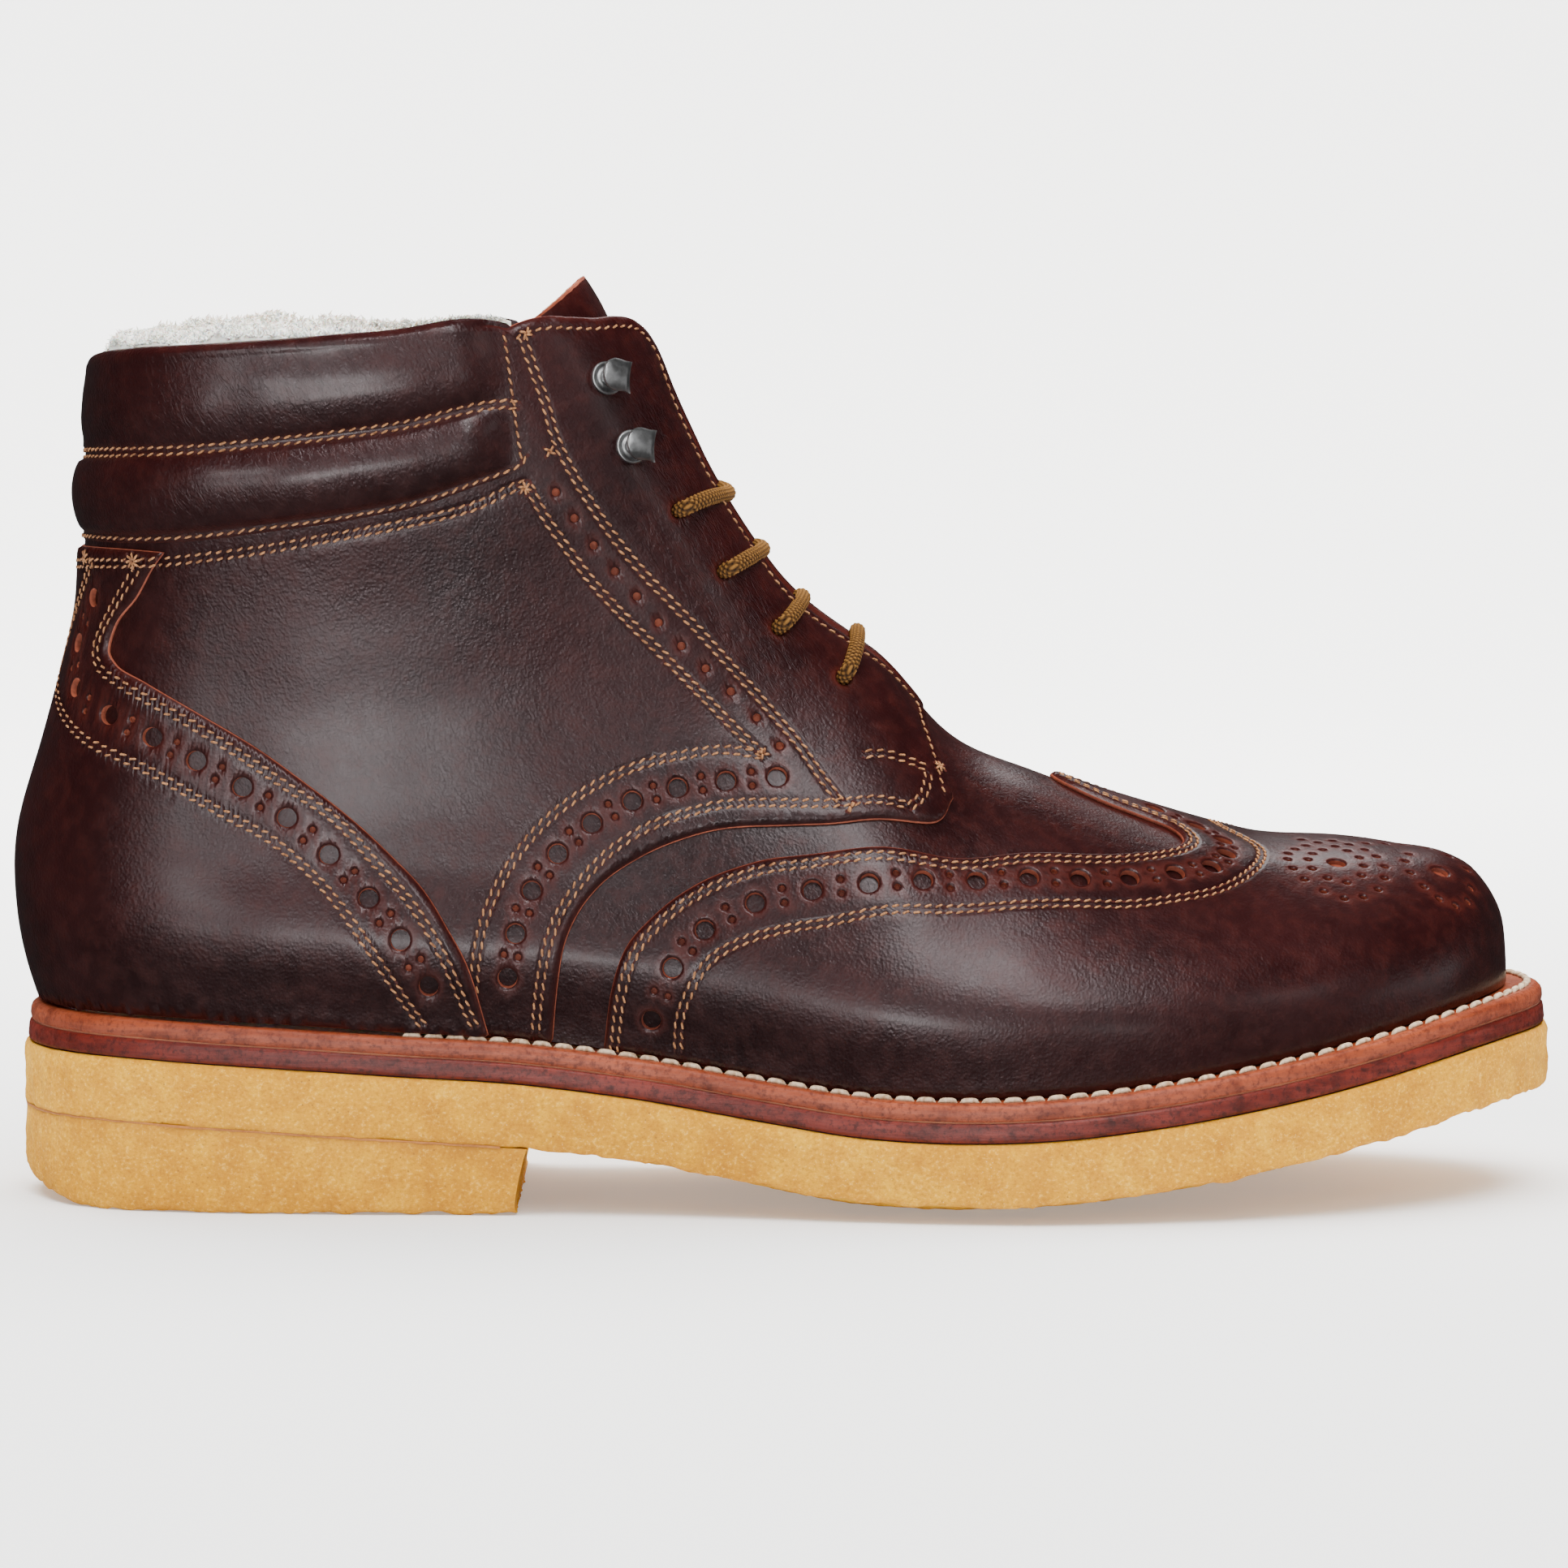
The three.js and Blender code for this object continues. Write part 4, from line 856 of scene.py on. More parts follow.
skin()
mirrored_rows = [mirror(r) for r in quarter_rows]
cut_piece("quarter_lateral_leather", quarter_outline, quarter_holes, quarter_rows, TOP_1, .05, RAW,
          "quarter_lateral", throat_mask, facing_grain)
cut_piece("quarter_medial_leather", mirror(quarter_outline), mirror_holes(quarter_holes), mirrored_rows,
          TOP_1, .05, RAW, "quarter_medial", throat_mask, facing_grain)
cut_piece("wing_tip_leather", wing_outline, side_wing + mirror_holes(side_wing) + toe_holes, wing_rows,
          TOP_1, .05, PUNCH, "wing_tip")
cut_piece("heel_counter_leather", counter_outline, counter_holes, counter_rows, TOP_2, TOP_1 - .05, RAW,
          "heel_counter")


# ---- stitches ----
def stitches(name, rows, slot="upper_leather", pitch=2.15, cover=.70):
    """Rows of single threads, each in its own pair of needle holes. rows are (line, height)."""
    width, tilt, high, prick = .27, .13, .34, .44
    s, h = Shape(), Shape()
    ring = np.linspace(0, 2 * PI, 6, endpoint=False)
    for row, d in rows:
        row = even(row, pitch)
        q, n = place(*row.T, d), normal(*row.T)
        a, b = q[:-1], q[1:]
        go, size = unit(b - a), np.linalg.norm(b - a, axis=1, keepdims=True)
        up = n[:-1] + n[1:]
        up = unit(up - go * (up * go).sum(1, keepdims=True))
        side = np.cross(up, go)
        lean = tilt * (1 + .25 * RNG.standard_normal((len(a), 1)))
        mid = (a + b) / 2
        rings = []
        for u, r, z in ((-.5, .35, -.10), (-.3, .92, .55), (.3, .92, .55), (.5, .35, -.10)):
            core = mid + go * size * cover * u + side * size * lean * u * 1.6 + up * high * z
            rings.append(np.stack([core + (side * math.cos(x) * width + up * math.sin(x) * width * .8) * r
                                   for x in ring], 1))
        s.tubes(np.stack(rings, 1), flip=True)
        go = unit(np.gradient(q, axis=0))
        side = np.cross(n, go)
        # flat dark red discs at the needle holes: the raw red of the pierced leather, and painted shade standing for
        # the holes' depth
        disc = [q + n * .03 + (go * math.cos(x) * prick * 1.15 + side * math.sin(x) * prick) for x in ring]
        k = h.points(np.stack([q + n * .07] + disc, 1)) + np.arange(len(q))[:, None] * 7
        f = np.stack([np.broadcast_to(k, (len(q), 6)), k + 1 + np.arange(6), k + 1 + (np.arange(6) + 1) % 6], -1)
        h.faces(f.reshape(-1, 3))
    s.make(name, [THREAD], slot)
    h.make(name + "_needle_holes", [PRICK], "upper_leather")


low1, low2 = TOP_1 - SUNK, TOP_2 - SUNK
for name, rows, d in (("quarter_stitches_lateral", quarter_rows, low1),
                      ("quarter_stitches_medial", mirrored_rows, low1),
                      ("wing_stitches", wing_rows, low1), ("counter_stitches", counter_rows, low2)):
    stitches(name, [(r, d) for r in rows])


def star(share, rise, size, turns, d):
    """The threads of a tied-off seam, crossing at one place."""
    t, p = float(station(share)), rise * PI / 2
    a, b = axes(t, p)
    ends = np.array([[-.5], [.5]]) * size
    return [(np.array([t, p]) + to_flat(np.full(2, t), np.full(2, p), (a * math.cos(x) + b * math.sin(x)) * ends),
             d + .25) for x in turns]


knots = []
for spot in ((.0086, .290, 3.4, (.3, 1.2, 2.2), low2), (.0440, .290, 3.6, (.1, .8, 1.6, 2.4), low2),
             (.3280, .577, 2.8, (.4, 1.9), low1), (.3445, .478, 2.6, (.2, 1.7), low1),
             (.3280, .4235, 2.8, (.3, 1.4, 2.4), low1), (.4886, .4037, 2.6, (.5, 2.0), low1),
             (.6066, .651, 2.6, (.2, 1.3, 2.3), low1), (.5480, .4136, 2.4, (1.4, 1.8), low1)):
    knots += star(*spot)
knots += [(mirror(r), d) for r, d in knots]
stitches("tied_ends", knots, pitch=9, cover=.96)


# ---- padded collar ----
pad_low, pad_high = curve(PAD_LINE), curve(COLLAR_LINE[:6])
LOW_END, HIGH_END = float(station(.3325)), float(station(.3190))
SEAM = .45


def collar_spot(w, v):
    """A place on the collar: w from its inner to its outer front end, v from its foot to its top."""
    t = w * (LOW_END + (HIGH_END - LOW_END) * np.clip(v, 0, 1))
    a = np.interp(np.abs(t), pad_low[:, 0], pad_low[:, 1])
    b = np.interp(np.abs(t), pad_high[:, 0], pad_high[:, 1])
    return t, a + (b - a) * v


def collar():
    # the section, from the foot outside over the top to the inside: v, height, lift, seam
    prof = []
    for v in np.linspace(-.022, .03, 5):
        prof.append((v, 1.9 if v > -.02 else 1.5, 0, 1))
    for x in np.linspace(0, 1, 26)[1:-1]:
        prof.append((.03 + (SEAM - .025 - .03) * x, 1.75 + 2.3 * math.sin(PI * x) ** .5, 0, 0))
    for v in np.linspace(SEAM - .024, SEAM + .024, 7):
        prof.append((v, 1.6 + .2 * ((v - SEAM) / .024) ** 2, 0, 1))
    for x in np.linspace(0, 1, 26)[1:]:
        prof.append((SEAM + .025 + (.955 - SEAM - .025) * x,
                     1.7 + 1.75 * math.sin(PI / 2 * min(x / .45, 1)) ** .7 - .35 * smooth(.6, 1, x), 0, 0))
    for a in np.linspace(0, PI, 15)[1:]:
        prof.append((.965, .15 + 2.95 * math.cos(a), 2.2 * math.sin(a) + .1, 0))
    for v in np.linspace(.95, .86, 4):
        prof.append((v, -2.75, 0, 0))
    prof = np.array(prof)
    v, height, lift, near = (prof[None, :, k] for k in range(4))
    w = np.linspace(-1, 1, 361)[:, None]
    t, p = collar_spot(w, v)
    g = (1 - smooth(.925, .982, np.abs(w))) ** .8      # falls to nothing at the front ends
    outer = np.arange(len(prof))[None] < 61
    base = last(t, p)
    d = height - 1.0 * np.exp(-(w / .22) ** 2) * smooth(SEAM, SEAM + .1, v)
    around = np.exp(-((v - SEAM) / .05) ** 2) + np.exp(-((v - .03) / .05) ** 2)
    pucker = .30 * noise(base * [1, 1, .25], 3.6, 5) * np.minimum(around, 1) * (1 - near)
    dents = .42 * noise(base, 21, 6) + .16 * noise(base, 8, 7)
    d = np.where(outer, 1.7 + (d - 1.7 + pucker + dents * (1 - near)) * g, .3 + (d - .3) * np.maximum(g, .12))
    # the inside is thinner in front, where the wool is thin too
    d = np.where(d < 0, d * (1 - .85 * smooth(.55, .9, np.abs(w))), d)
    q = place(t, p, d)
    q[..., 2] += lift * (.75 + .25 * g) + .3 * (1 - g) * smooth(.8, .96, v)
    s = Shape()
    s.grid(q, wear_and_shade=near * .35 + 0 * w, grain=.35)
    o = s.make("padded_collar", [COLLAR], "collar_leather", ["collar"])
    ws, vs = np.linspace(-.995, .995, 500), np.linspace(.03, .95, 60)
    seam = np.column_stack(collar_spot(ws, SEAM))
    rows = [(shifted(seam, gap), 1.72) for gap in (.7, -.7)]
    rows.append((np.column_stack(collar_spot(ws, .004)), 1.95))
    rows += [(np.column_stack(collar_spot(end, vs)), 1.8) for end in (-.989, .989)]
    stitches("collar_stitches", rows, "collar_leather")


collar()


# ---- wool lining ----
def wool():
    # the section of the pile, over the collar's top and down inside: v, height, lift
    prof = [(.975, -1.0, .8), (.985, -1.6, 2.4), (.99, -2.6, 3.6), (.99, -4.2, 4.6), (.98, -6.0, 4.7),
            (.97, -7.4, 3.6), (.96, -8.2, 1.6), (.94, -8.6, 0)]
    prof += [(v, -8.2, 0) for v in np.linspace(.88, .0, 14)]
    prof = np.array([[a[i] + (b[i] - a[i]) * x for i in range(3)]
                     for a, b in zip(prof, prof[1:]) for x in (0, .25, .5, .75)])
    v, height, lift = (prof[None, :, k] for k in range(3))
    columns = 300
    w = np.linspace(-.99, .99, columns)[:, None]
    t, p = collar_spot(w, v)
    end = 1 - smooth(.6, .93, np.abs(w)) * .97         # thin at the front ends
    q, n = last(t, p), normal(t, p)
    lumps = 1.5 * noise(q, 7, 11) + .9 * noise(q, 3, 12) + .5 * noise(q, 1.3, 13)
    d = -1.2 + (height + 1.2) * end
    q = q + n * (d + np.where(d < -2, lumps * .8, 0) * end)[..., None]
    q[..., 2] += lift * end + np.where(lift > 2, lumps * .5 * end, 0)
    # lower shaft and heel, down to the insole
    f = np.linspace(0, 1, 40)[None]
    t2 = w * LOW_END
    p2 = np.interp(np.abs(t2), *pad_low.T) * (1 - f) + .02 * f
    q2, n2 = last(t2, p2), normal(t2 + 0 * f, p2)
    depth = (-8.2 + 4.0 * f) * (1 - smooth(.86, .985, np.abs(w)) * .6)
    q2 = q2 + n2 * (depth + .8 * noise(q2, 6, 14) + .5 * noise(q2, 2.2, 15))[..., None]
    q2[..., 2] = np.maximum(q2[..., 2], welt_top(q2[..., 0]) + 1)
    s = Shape()
    s.grid(q)
    s.grid(q2)
    # thin lining of the vamp and the facings
    t3 = np.linspace(-PI, PI, 261)
    t3 = t3[np.abs(t3) > LOW_END * .97][:, None]
    top = np.where(np.abs(t3) > THROAT_END, PI / 2, np.interp(np.abs(t3), *curve(VAMP_SLOT).T))
    p3 = LIFT + (top - LIFT) * np.linspace(0, 1, 38)
    q3 = last(t3, p3) - normal(t3 + 0 * p3, p3) * (WALL + .15)
    q3[..., 2] = np.maximum(q3[..., 2], welt_top(q3[..., 0]) + .5)
    half = int((t3 < 0).sum())
    s.grid(q3[:half])
    s.grid(q3[half:])
    s.make("wool_lining", [WOOL], "shearling")
    # curled tufts along the rim
    count = 9000
    wi = RNG.uniform(-.975, .975, count)
    deep = RNG.random(count) ** 1.6
    k = np.clip((deep * (len(prof) - 8)).astype(int) + 4, 0, len(prof) - 1)
    i = np.clip(((wi + .985) / 1.97 * (columns - 1)).astype(int), 0, columns - 2)
    root = q[i, k] + (q[i + 1, k] - q[i, k]) * RNG.random((count, 1))
    nn = -n[i, k] * .8 + np.array([0, 0, 1.0]) * np.clip(1.2 - deep[:, None] * 2, -.3, 1)
    nn = unit(nn + .55 * RNG.standard_normal((count, 3)))
    cross = unit(np.cross(nn, RNG.standard_normal((count, 3))))
    other = np.cross(nn, cross)
    size = RNG.uniform(.7, 1.7, (count, 1)) * (1 - smooth(.84, .985, np.abs(wi))[:, None] * .6)
    turn = RNG.uniform(1.2, 3.6, (count, 1))
    phase = RNG.uniform(0, 2 * PI, (count, 1))
    rings = []
    for x, r in ((0, .34), (.55, .30), (1, .05)):
        curl = .62 * x * (cross * np.cos(turn * x * PI + phase) + other * np.sin(turn * x * PI + phase))
        core = root + nn * size * x + curl
        rings.append(np.stack([core + (cross * math.cos(y) + other * math.sin(y)) * r for y in (0, 2.1, 4.2)], 1))
    s = Shape()
    s.tubes(np.stack(rings, 1))
    s.make("wool_tufts", [WOOL], "shearling")


wool()


def insole():
    t = np.linspace(.02, PI - .02, 200)[:, None]
    q = np.linspace(-1, 1, 50)[None]
    inset = WALL + 4 * GAP
    x = LAST_START + inset + (LAST_LENGTH - 2 * inset) * share_at(t) + 0 * q
    half = np.maximum(half_width(t) * LAST_WIDTH - inset * np.sin(t) ** .5, 0)
    y = centre(t) * LAST_WIDTH + half * q
    low = np.stack([x, y, welt_top(x) + GAP], -1)
    top = low + [0, 0, 3.0]
    top[..., 2] += .5 * noise(top, 5, 21) + .3 * noise(top, 2, 22)
    s = Shape()
    s.grid(top)
    s.grid(low[:, [0, -1]], flip=True)
    for i in (0, -1):
        s.strip(low[:, i], top[:, i], flip=i == -1)
        s.strip(low[i], top[i], flip=i == 0)
    s.make("wool_insole", [WOOL], "shearling", ["insole"])


insole()


# ---- tongue ----
def tongue():
    a, b = float(station(.628)), float(station(.345))
    q = np.linspace(-1, 1, 61)[:, None]
    under = WALL + .9

    def spot(v):
        t = a + (b - a) * v
        share = np.minimum(27 * (.78 + .1 * v) / (half_width(t) * LAST_WIDTH * 1.12), .88) * np.abs(q)
        rise = np.arcsin(np.maximum(1 - share ** fullness(t), 0) ** (1 / fullness(t)))
        return t, np.where(q > 0, rise, PI - rise), 3.0 * smooth(.2, 1, v)

    # the end is one straight cut, falling towards the back
    v = np.linspace(.6, 1, 300)[None]
    t, p, lean = spot(v)
    at = place(t, p, -under - lean)
    over = (at[..., 2] - 184.4) - .72 * (at[..., 0] - 114.2) - 1.2 * (1 - q * q) > 0
    stop = v[0][np.where(over.any(1), over.argmax(1), 299)][:, None]
    v = np.append(np.linspace(0, .9965, 150), 1)[None]
    t, p, lean = spot(v * stop)
    flat = last(t, p)
    wave = .35 * noise(flat, 18, 31) + .12 * noise(flat, 7, 32)
    edge = np.maximum(np.abs(q) ** 24, v ** 90)
    top = place(t, p, -under - lean + wave * (1 - v ** 20) - .25 * edge)
    low = place(t, p, -under - lean - 2.0 + .25 * edge)
    s = Shape()
    s.grid(top[:, :-1], 0, flip=True, wear_and_shade=(np.abs(q) ** 40 + .5 * v ** 140)[:, :-1], grain=.2)
    s.grid(top[:, -2:], 1, flip=True, wear_and_shade=1.0)
    s.grid(low, 2)
    s.strip(top[:, -1], low[:, -1], 1, wear_and_shade=1.0)
    s.strip(top[0], low[0], 1, wear_and_shade=1.0)
    s.strip(top[-1], low[-1], 1, flip=True, wear_and_shade=1.0)
    s.make("tongue_leather", [UPPER, RAW, WOOL], "upper_leather", ["tongue"])


tongue()


# ---- laces ----
def lace(i, share, rise, cross, sag):
    """One run of the round lace, from hole to hole, with its braid cut into the surface."""
    r, strands, lay, sides = 1.6, 6, 1.2, 42
    u = np.linspace(-1, 1, 400)
    p = PI / 2 + (1 - rise) * (PI / 2) * u
    t = station(share + (cross - share) * (1 - u * u))
    rest = TOP_1 + .1 + r
    d = rest - (rest - sag) * (1 - np.abs(u) ** 2.2) ** 1.5 - (r + 3.2) * smooth(.955, 1.0, np.abs(u)) ** 1.2
    path = last(t, p) + normal(t, p) * d[:, None]
    far = lengths(path)
    at = np.linspace(0, far[-1], int(far[-1] / .19))
    path, up = resample(path, far, at), resample(normal(t, p), far, at)
    go = unit(np.gradient(path, axis=0))
    side = unit(np.cross(up, go))
    up = np.cross(go, side)
    ang = np.linspace(0, 2 * PI, sides, endpoint=False)[None]
    turn, run = strands * ang / (2 * PI), at[:, None] / lay
    a, b = turn + run, turn - run
    fa, fb = np.sin(PI * (a % 1)), np.sin(PI * (b % 1))
    over = (np.floor(a) + np.floor(b)) % 2 < 1
    h = np.where(over, fa ** .7 * (.45 + .55 * fb), fb ** .7 * (.45 + .55 * fa))
    rr = r - .46 + .52 * h
    q = path[:, None] + side[:, None] * (np.cos(ang) * rr)[..., None]
    q = q + up[:, None] * (np.sin(ang) * rr * .94)[..., None]
    s = Shape()
    # the braid's height goes to the material as its mark, and the material paints shade into the gaps between the
    # strands
    s.grid(q, loop_j=True, flip=True, wear_and_shade=h)
    s.make("braided_lace_%d" % (i + 1), [BRAID], "lace_cord", ["lace_bar_%d" % (i + 1)])


for i, row in enumerate(LACES):
    lace(i, *row)


# ---- speed hooks ----
def hook(name, t, p):
    """A stamped ring, a post and a cap that is open to the front."""
    n, seat = normal(t, p), place(t, p, TOP_1)
    front = np.array([1, 0, -.06])
    front = unit(front - n * (front @ n))
    side = np.cross(n, front)

    def local(f, sd, h):
        return seat + f[..., None] * front + sd[..., None] * side + h[..., None] * n

    s = Shape()
    ang = np.linspace(0, 2 * PI, 48, endpoint=False)[:, None]

    def lathe(rows):
        r, h, wear_and_shade = (np.array([row[k] for row in rows])[None] for k in range(3))
        s.grid(local(np.cos(ang) * r, np.sin(ang) * r, h + 0 * ang), loop_i=True, wear_and_shade=wear_and_shade + 0 * ang)

    lathe([(3.42, -.2, .2), (3.46, .12, .5), (3.40, .38, 1), (3.2, .5, 1), (2.9, .46, .5), (2.6, .34, .2),
           (2.3, .32, .1), (2.05, .5, .5), (1.85, .62, .6), (1.55, .6, .2), (1.35, .55, .1), (1.28, .9, .2),
           (1.25, 3.6, .2), (1.25, 4.2, .1)])
    a = np.linspace(-1, 1, 25)[:, None]
    b = np.linspace(0, 1, 40)[None]
    f = -3.0 + 6.7 * b
    wide = np.where(b < .48, 3.3 * np.sqrt(np.clip(1 - ((.48 - b) / .48) ** 2, 0, 1)),
                    3.3 - .22 * smooth(.48, .75, b) + .2 * smooth(.75, 1, b))
    for_end = f - .5 * (1 - a * a) * smooth(.7, 1, b)
    crown = (3.9 + 1.25 * (1 - (a * wide / 3.7) ** 2) * (1 - .8 * ((b - .4) / .62) ** 2)
             - .3 * smooth(.75, 1, b))
    edge = np.maximum(np.abs(a) ** 14 + 0 * b, (1 - smooth(0, .06, b)) + 0 * a)
    edge = np.clip(edge + smooth(.93, 1, b), 0, 1)
    top = local(for_end, a * wide, crown - .18 * edge)
    low = local(for_end, a * wide, crown - .75 + .12 * edge)
    s.grid(top, flip=True, wear_and_shade=.25 + .75 * edge)
    s.grid(low, wear_and_shade=.1)
    s.strip(top[:, -1], low[:, -1], wear_and_shade=1.0)
    s.strip(top[0], low[0], wear_and_shade=1.0)
    s.strip(top[-1], low[-1], flip=True, wear_and_shade=1.0)
    s.make(name + "_metal", [NICKEL], "hook_metal", [name])


for i, (share, rise) in enumerate(HOOKS):
    for side, p in (("lateral", rise * PI / 2), ("medial", PI - rise * PI / 2)):
        hook("hook_%s_%d" % (side, i + 1), float(station(share)), p)


# ---- sole ----
def rim_points(a, inset):
    """The sole's outline: a runs round it from the heel's middle, positive on the outer side."""
    t, q = np.abs(a), np.where(a >= 0, -1.0, 1.0)
    x = inset + (SOLE_LENGTH - 2 * inset) * share_at(t)
    half = np.maximum(half_width(t) * BALL_WIDTH - inset * np.sin(t), 0)
    return x, centre(t) * BALL_WIDTH + half * q


def rim_outward(a):
    e = 1e-3
    x1, y1 = rim_points(a + e, 0 * a)
    x0, y0 = rim_points(a - e, 0 * a)
    d = unit(np.stack([x1 - x0, y1 - y0], -1))
    return np.stack([d[..., 1], -d[..., 0], 0 * a], -1)


def crepe_bottom(x, q):
    share = x / SOLE_LENGTH
    fore = smooth(.33, .55, share) * (1 - smooth(.7, 1, share))
    return np.maximum(crepe_top(x) - CREPE_EDGE - CREPE_CROWN * fore * (1 - np.abs(q) ** 3), 0)


def heel_bottom(x):
    return 5 * np.maximum(0, 1 - x / (.06 * SOLE_LENGTH)) ** 2


def band(s, angles, levels, top, low, rough=0.0, ragged=0.0, mat=0, round_it=True, seed=0, level_marks=None,
         shape_x=None, calm=None):
    """Side wall of a sole layer. levels are (share of the height from the top, inset)."""
    a = angles[:, None]
    f, inset = np.array(levels, float).T[:, None]
    x, y = rim_points(a + 0 * f, inset + 0 * a)
    z = top(x) + (low(x) - top(x)) * f
    if shape_x is not None:
        x = x + shape_x(x, f)
    q = np.stack([x, y, z], -1)
    if rough:
        out = rim_outward(a + 0 * f)
        n = rough * (.9 * noise(q, 8, seed) + .75 * noise(q, 2.6, seed + 1) + .45 * noise(q, 1.1, seed + 2))
        q = q + out * n[..., None]
    if ragged:
        q[..., 2] += ragged * smooth(.86, 1, f) * (noise(q, 4.5, seed + 3) + .6 * noise(q, 1.7, seed + 4) + .5) \
            * (calm(x) if calm else 1)
    q[..., 2] = np.maximum(q[..., 2], 0)
    s.grid(q, mat, loop_i=round_it, flip=True, wear_and_shade=0 * a + (np.array(level_marks or [0] * len(levels))[None]))
    return q


def cap(s, q_top, rows, up, height=None):
    """Closes a layer across, between the left and right halves of its rim."""
    n = len(q_top) // 2
    right, left = q_top[:n + 1], np.vstack([q_top[:1], q_top[:n - 1:-1]])
    f = np.linspace(0, 1, rows + 1)[None, :, None]
    g = right[:, None] * (1 - f) + left[:, None] * f
    if height is not None:
        g[:, 1:-1, 2] = height(g[:, 1:-1, 0], (2 * f[:, 1:-1, 0] - 1) + 0 * g[:, 1:-1, 0])
    s.grid(g, flip=not up)


loop = np.concatenate([np.linspace(0, PI, 441)[:-1], np.linspace(-PI, 0, 441)[:-1]])


def sole_layers():
    # crepe outsole
    s = Shape()
    shape = [(0, 1.1), (.02, .6), (.07, .25), (.14, .1), (.25, 0), (.4, -.05), (.55, -.05), (.68, 0), (.8, .02),
             (.88, .06), (.94, .14), (.98, .32), (1, .65)]
    # the side wall turns darker brown towards its top and bottom edges
    darkening = [.8, .5, .12, 0, 0, 0, 0, 0, 0, 0, .12, .4, .7]
    low = lambda x: crepe_bottom(x, 1.0)
    q = band(s, loop, shape, crepe_top, low, .34, .5, seed=40, level_marks=darkening,
             calm=lambda x: smooth(HEEL_LENGTH - 1, HEEL_LENGTH + 2, x))
    glue = station(HEEL_LENGTH / SOLE_LENGTH) * .985
    band(s, np.linspace(-glue, glue, 300), [(0, .35), (.5, .1), (1, .35)], lambda x: crepe_top(x) - CREPE_EDGE + .12,
         lambda x: crepe_top(x) - CREPE_EDGE - .42, mat=1, round_it=False, rough=.1, seed=49)
    cap(s, q[:, 0], 3, True)
    cap(s, q[:, -1], 24, False, lambda x, k: crepe_bottom(x, k) + .25 * (crepe_bottom(x, k) > .4)
        * (noise(np.stack([x, k * 50, x], -1), 3, 48) + 1))
    s.make("crepe_outsole", [CREPE, GLUE], "crepe", ["outsole"])
    # crepe heel
    s = Shape()
    breast = float(station(HEEL_LENGTH / SOLE_LENGTH))
    a = np.linspace(-breast, breast, 420)
    shape = [(0, .4), (.03, .18), (.1, .05), (.25, 0), (.45, 0), (.65, .05), (.82, .15), (.92, .45), (.97, .8), (1, 1.4)]
    # the heel's side wall turns darker brown towards its top and bottom edges
    darkening = [.9, .6, .15, 0, 0, 0, 0, .1, .3, .6]
    top = lambda x: crepe_top(x) - CREPE_EDGE - GAP
    lean = lambda x, f: 2.6 * (1 - f) ** 1.5 * smooth(HEEL_LENGTH - 14, HEEL_LENGTH, x)
    q = band(s, a, shape, top, heel_bottom, .34, .45, round_it=False, seed=60, level_marks=darkening, shape_x=lean)
    f = np.linspace(0, 1, 50)[:, None]
    face = q[-1][:, None] * (1 - f) + q[0][:, None] * f
    bulge = .5 * noise(face, 4, 66) + .3 * noise(face, 1.6, 67)
    face[:, 1:-1, 0] += bulge[:, 1:-1]
    s.grid(face)
    f, m = np.linspace(0, 1, 12)[:, None], len(a) // 2
    for j in (0, -1):
        s.grid(q[:m, j][:, None] * f + q[::-1][:m, j][:, None] * (1 - f), flip=j == 0)
    s.make("crepe_heel", [CREPE], "crepe", ["heel"])
    # glue line, leather midsole, pale line and welt
    s = Shape()
    mid_low, mid_top = lambda x: crepe_top(x) + GAP, lambda x: crepe_top(x) + GAP + MIDSOLE
    band(s, loop, [(0, 1.6), (1, 1.6)], lambda x: mid_low(x) + .3, lambda x: crepe_top(x) - .3, mat=1)
    q = band(s, loop, [(0, 1.45), (.06, 1.1), (.2, .95), (.5, .85), (.8, .75), (.94, .85), (1, 1.2)],
             mid_top, mid_low, .07, seed=80)
    cap(s, q[:, 0], 3, True)
    s.make("leather_midsole", [MID_EDGE, PRICK], "midsole_leather", ["midsole"])
    s = Shape()
    wl_low = lambda x: welt_top(x) - WELT
    band(s, loop, [(0, 1.7), (1, 1.7)], lambda x: wl_low(x) + .3, lambda x: mid_top(x) - .3, mat=1)
    q = band(s, loop, [(0, 3.0), (.02, 2.5), (.09, 2.0), (.2, 1.6), (.4, 1.35), (.7, 1.25), (.92, 1.4), (1, 1.7)],
             welt_top, wl_low, .08, seed=90, level_marks=[.3, .3, .2, 0, 0, 0, 0, .2])
    cap(s, q[:, 0], 60, True)
    cap(s, q[:, -1], 8, False)
    s.make("leather_welt", [WELT_EDGE, PALE_LINE], "welt_leather", ["welt"])


sole_layers()


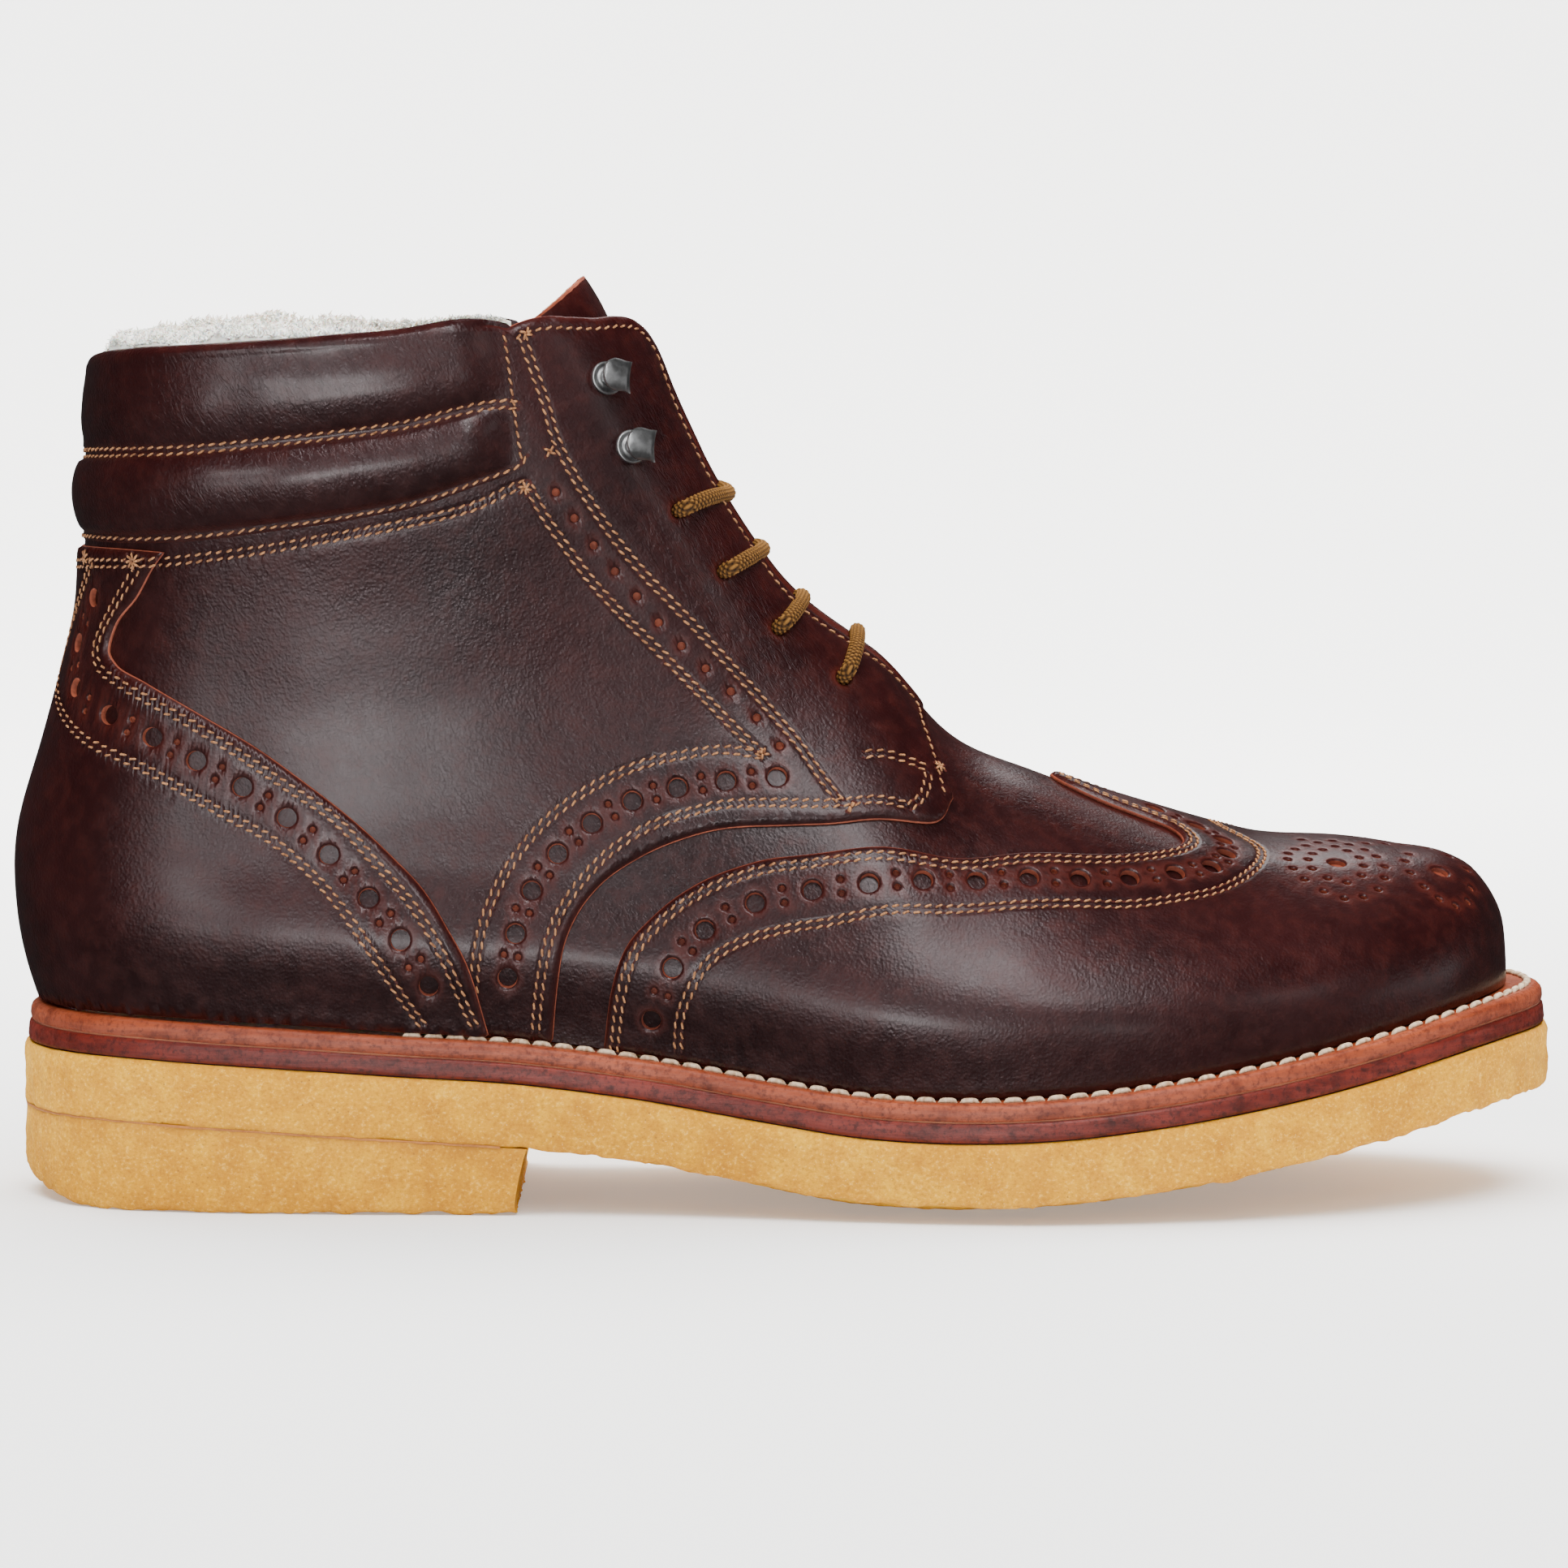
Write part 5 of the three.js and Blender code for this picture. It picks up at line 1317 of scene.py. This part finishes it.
def welt_stitches():
    """Thick light threads along the welt, from the middle of one side round the toe to the other."""
    first, inset, pitch = float(station(.245)), 4.3, 4.3
    a = np.linspace(first, PI, 1500)
    a = np.concatenate([a, np.linspace(-PI, -first, 1500)[1:]])
    x, y = rim_points(a, inset + 0 * a)
    q = np.stack([x, y, welt_top(x)], -1)
    far = lengths(q)
    q = resample(q, far, np.linspace(0, far[-1], int(far[-1] / pitch) + 1))
    ring = np.linspace(0, 2 * PI, 10, endpoint=False)
    a, b = q[:-1], q[1:]
    go, size = unit(b - a), np.linalg.norm(b - a, axis=1, keepdims=True)
    up = np.array([[0, 0, 1.0]]) + 0 * go
    side = np.cross(up, go)
    rings = []
    for u in np.linspace(-.5, .5, 9):
        r = .62 * (1 - (2 * abs(u)) ** 3.5) ** .5 + .12
        core = (a + b) / 2 + go * size * .92 * u + side * size * .10 * u + up * (.50 * (1 - (2 * u) ** 4) - .12)
        rings.append(np.stack([core + (side * math.cos(x) + up * math.sin(x) * .8) * r for x in ring], 1))
    s = Shape()
    s.tubes(np.stack(rings, 1), flip=True)
    s.make("welt_stitches", [WELT_THREAD], "welt_leather")


welt_stitches()


# ---- camera, floor and light ----
def look_at(o, target):
    o.rotation_euler = (Vector(target) - o.location).to_track_quat("-Z", "Y").to_euler()


camera = bpy.data.objects.new("camera", bpy.data.cameras.new("camera"))
bpy.context.scene.collection.objects.link(camera)
camera.location = (-.000368, -1.54112, .2214)
look_at(camera, (-.000368, -.02112, .0844))
camera.data.lens, camera.data.sensor_width = 174.3, 36.0
bpy.context.scene.camera = camera

# a pale paper sweep: flat under the boot, rising behind it
profile = [(-2.5, 0)] + [(y, 0) for y in np.linspace(-1.5, 1.2, 28)]
profile += [(1.2 + 1.2 * math.sin(x), 1.2 - 1.2 * math.cos(x)) for x in np.linspace(0, PI / 2, 24)[1:]]
profile.append((2.4, 4.5))
count = len(profile)
floor_mesh = bpy.data.meshes.new("floor")
floor_mesh.from_pydata([(x, y, z) for x in (-4, 4) for y, z in profile], [],
                       [(i, count + i, count + i + 1, i + 1) for i in range(count - 1)])
floor_mesh.shade_smooth()
floor = bpy.data.objects.new("floor", floor_mesh)
bpy.context.scene.collection.objects.link(floor)
floor.visible_glossy = False
# the paper glows a little, and more behind the boot, as an overexposed sweep does
k = Look("floor_paint")
behind = k.ramp(k.times(k.node("SeparateXYZ", 1, Vector=k.at), .5), (.06, 0.0), (.45, 1.0))
k.set(Base_Color=(.80, .795, .785), Roughness=.95, Specular_IOR_Level=.0, Emission_Color=(1, .99, .965),
      Emission_Strength=k.calc("ADD", k.times(behind, 1.95), .3))
floor_mesh.materials.append(k.m)

world = bpy.data.worlds.new("studio")
world.use_nodes = True
world.node_tree.nodes["Background"].inputs[0].default_value = (.04, .04, .041, 1)
world.node_tree.nodes["Background"].inputs[1].default_value = 1.0
bpy.context.scene.world = world


def softbox(name, place_at, target, size, power):
    d = bpy.data.lights.new(name, "AREA")
    d.shape, d.size, d.size_y, d.energy = "RECTANGLE", *size, power
    o = bpy.data.objects.new(name, d)
    bpy.context.scene.collection.objects.link(o)
    o.location = place_at
    look_at(o, target)
    return o


softbox("top", (0, .2, 1.7), (0, .2, 0), (2.2, 2.2), 148).visible_glossy = False
for name, place_at, size, power in (("key", (.14, -1.14, 1.72), (.3, .45), 8.0),
                                    ("key_low", (.21, -1.47, 1.42), (.35, .35), 3.8),
                                    ("fill_right", (.41, -1.66, 1.12), (.32, .4), 4.0),
                                    ("fill_left", (-.87, -1.73, .58), (.25, .25), 2.4),
                                    ("front_low", (-.24, -1.99, .14), (.42, .2), 6.4),
                                    ("left_low", (-.76, -1.52, .16), (.22, .2), 1.0),
                                    ("right_low", (1.8, -.34, .18), (1.2, .15), 1.2),
                                    ("right_front", (.68, -1.87, .16), (.25, .15), .8),
                                    ("right_up", (1.35, -1.26, .72), (.25, .25), .7),
                                    ("back", (.16, .82, .70), (.3, .3), 1.0)):
    softbox(name, place_at, (0, 0, .08), size, power)
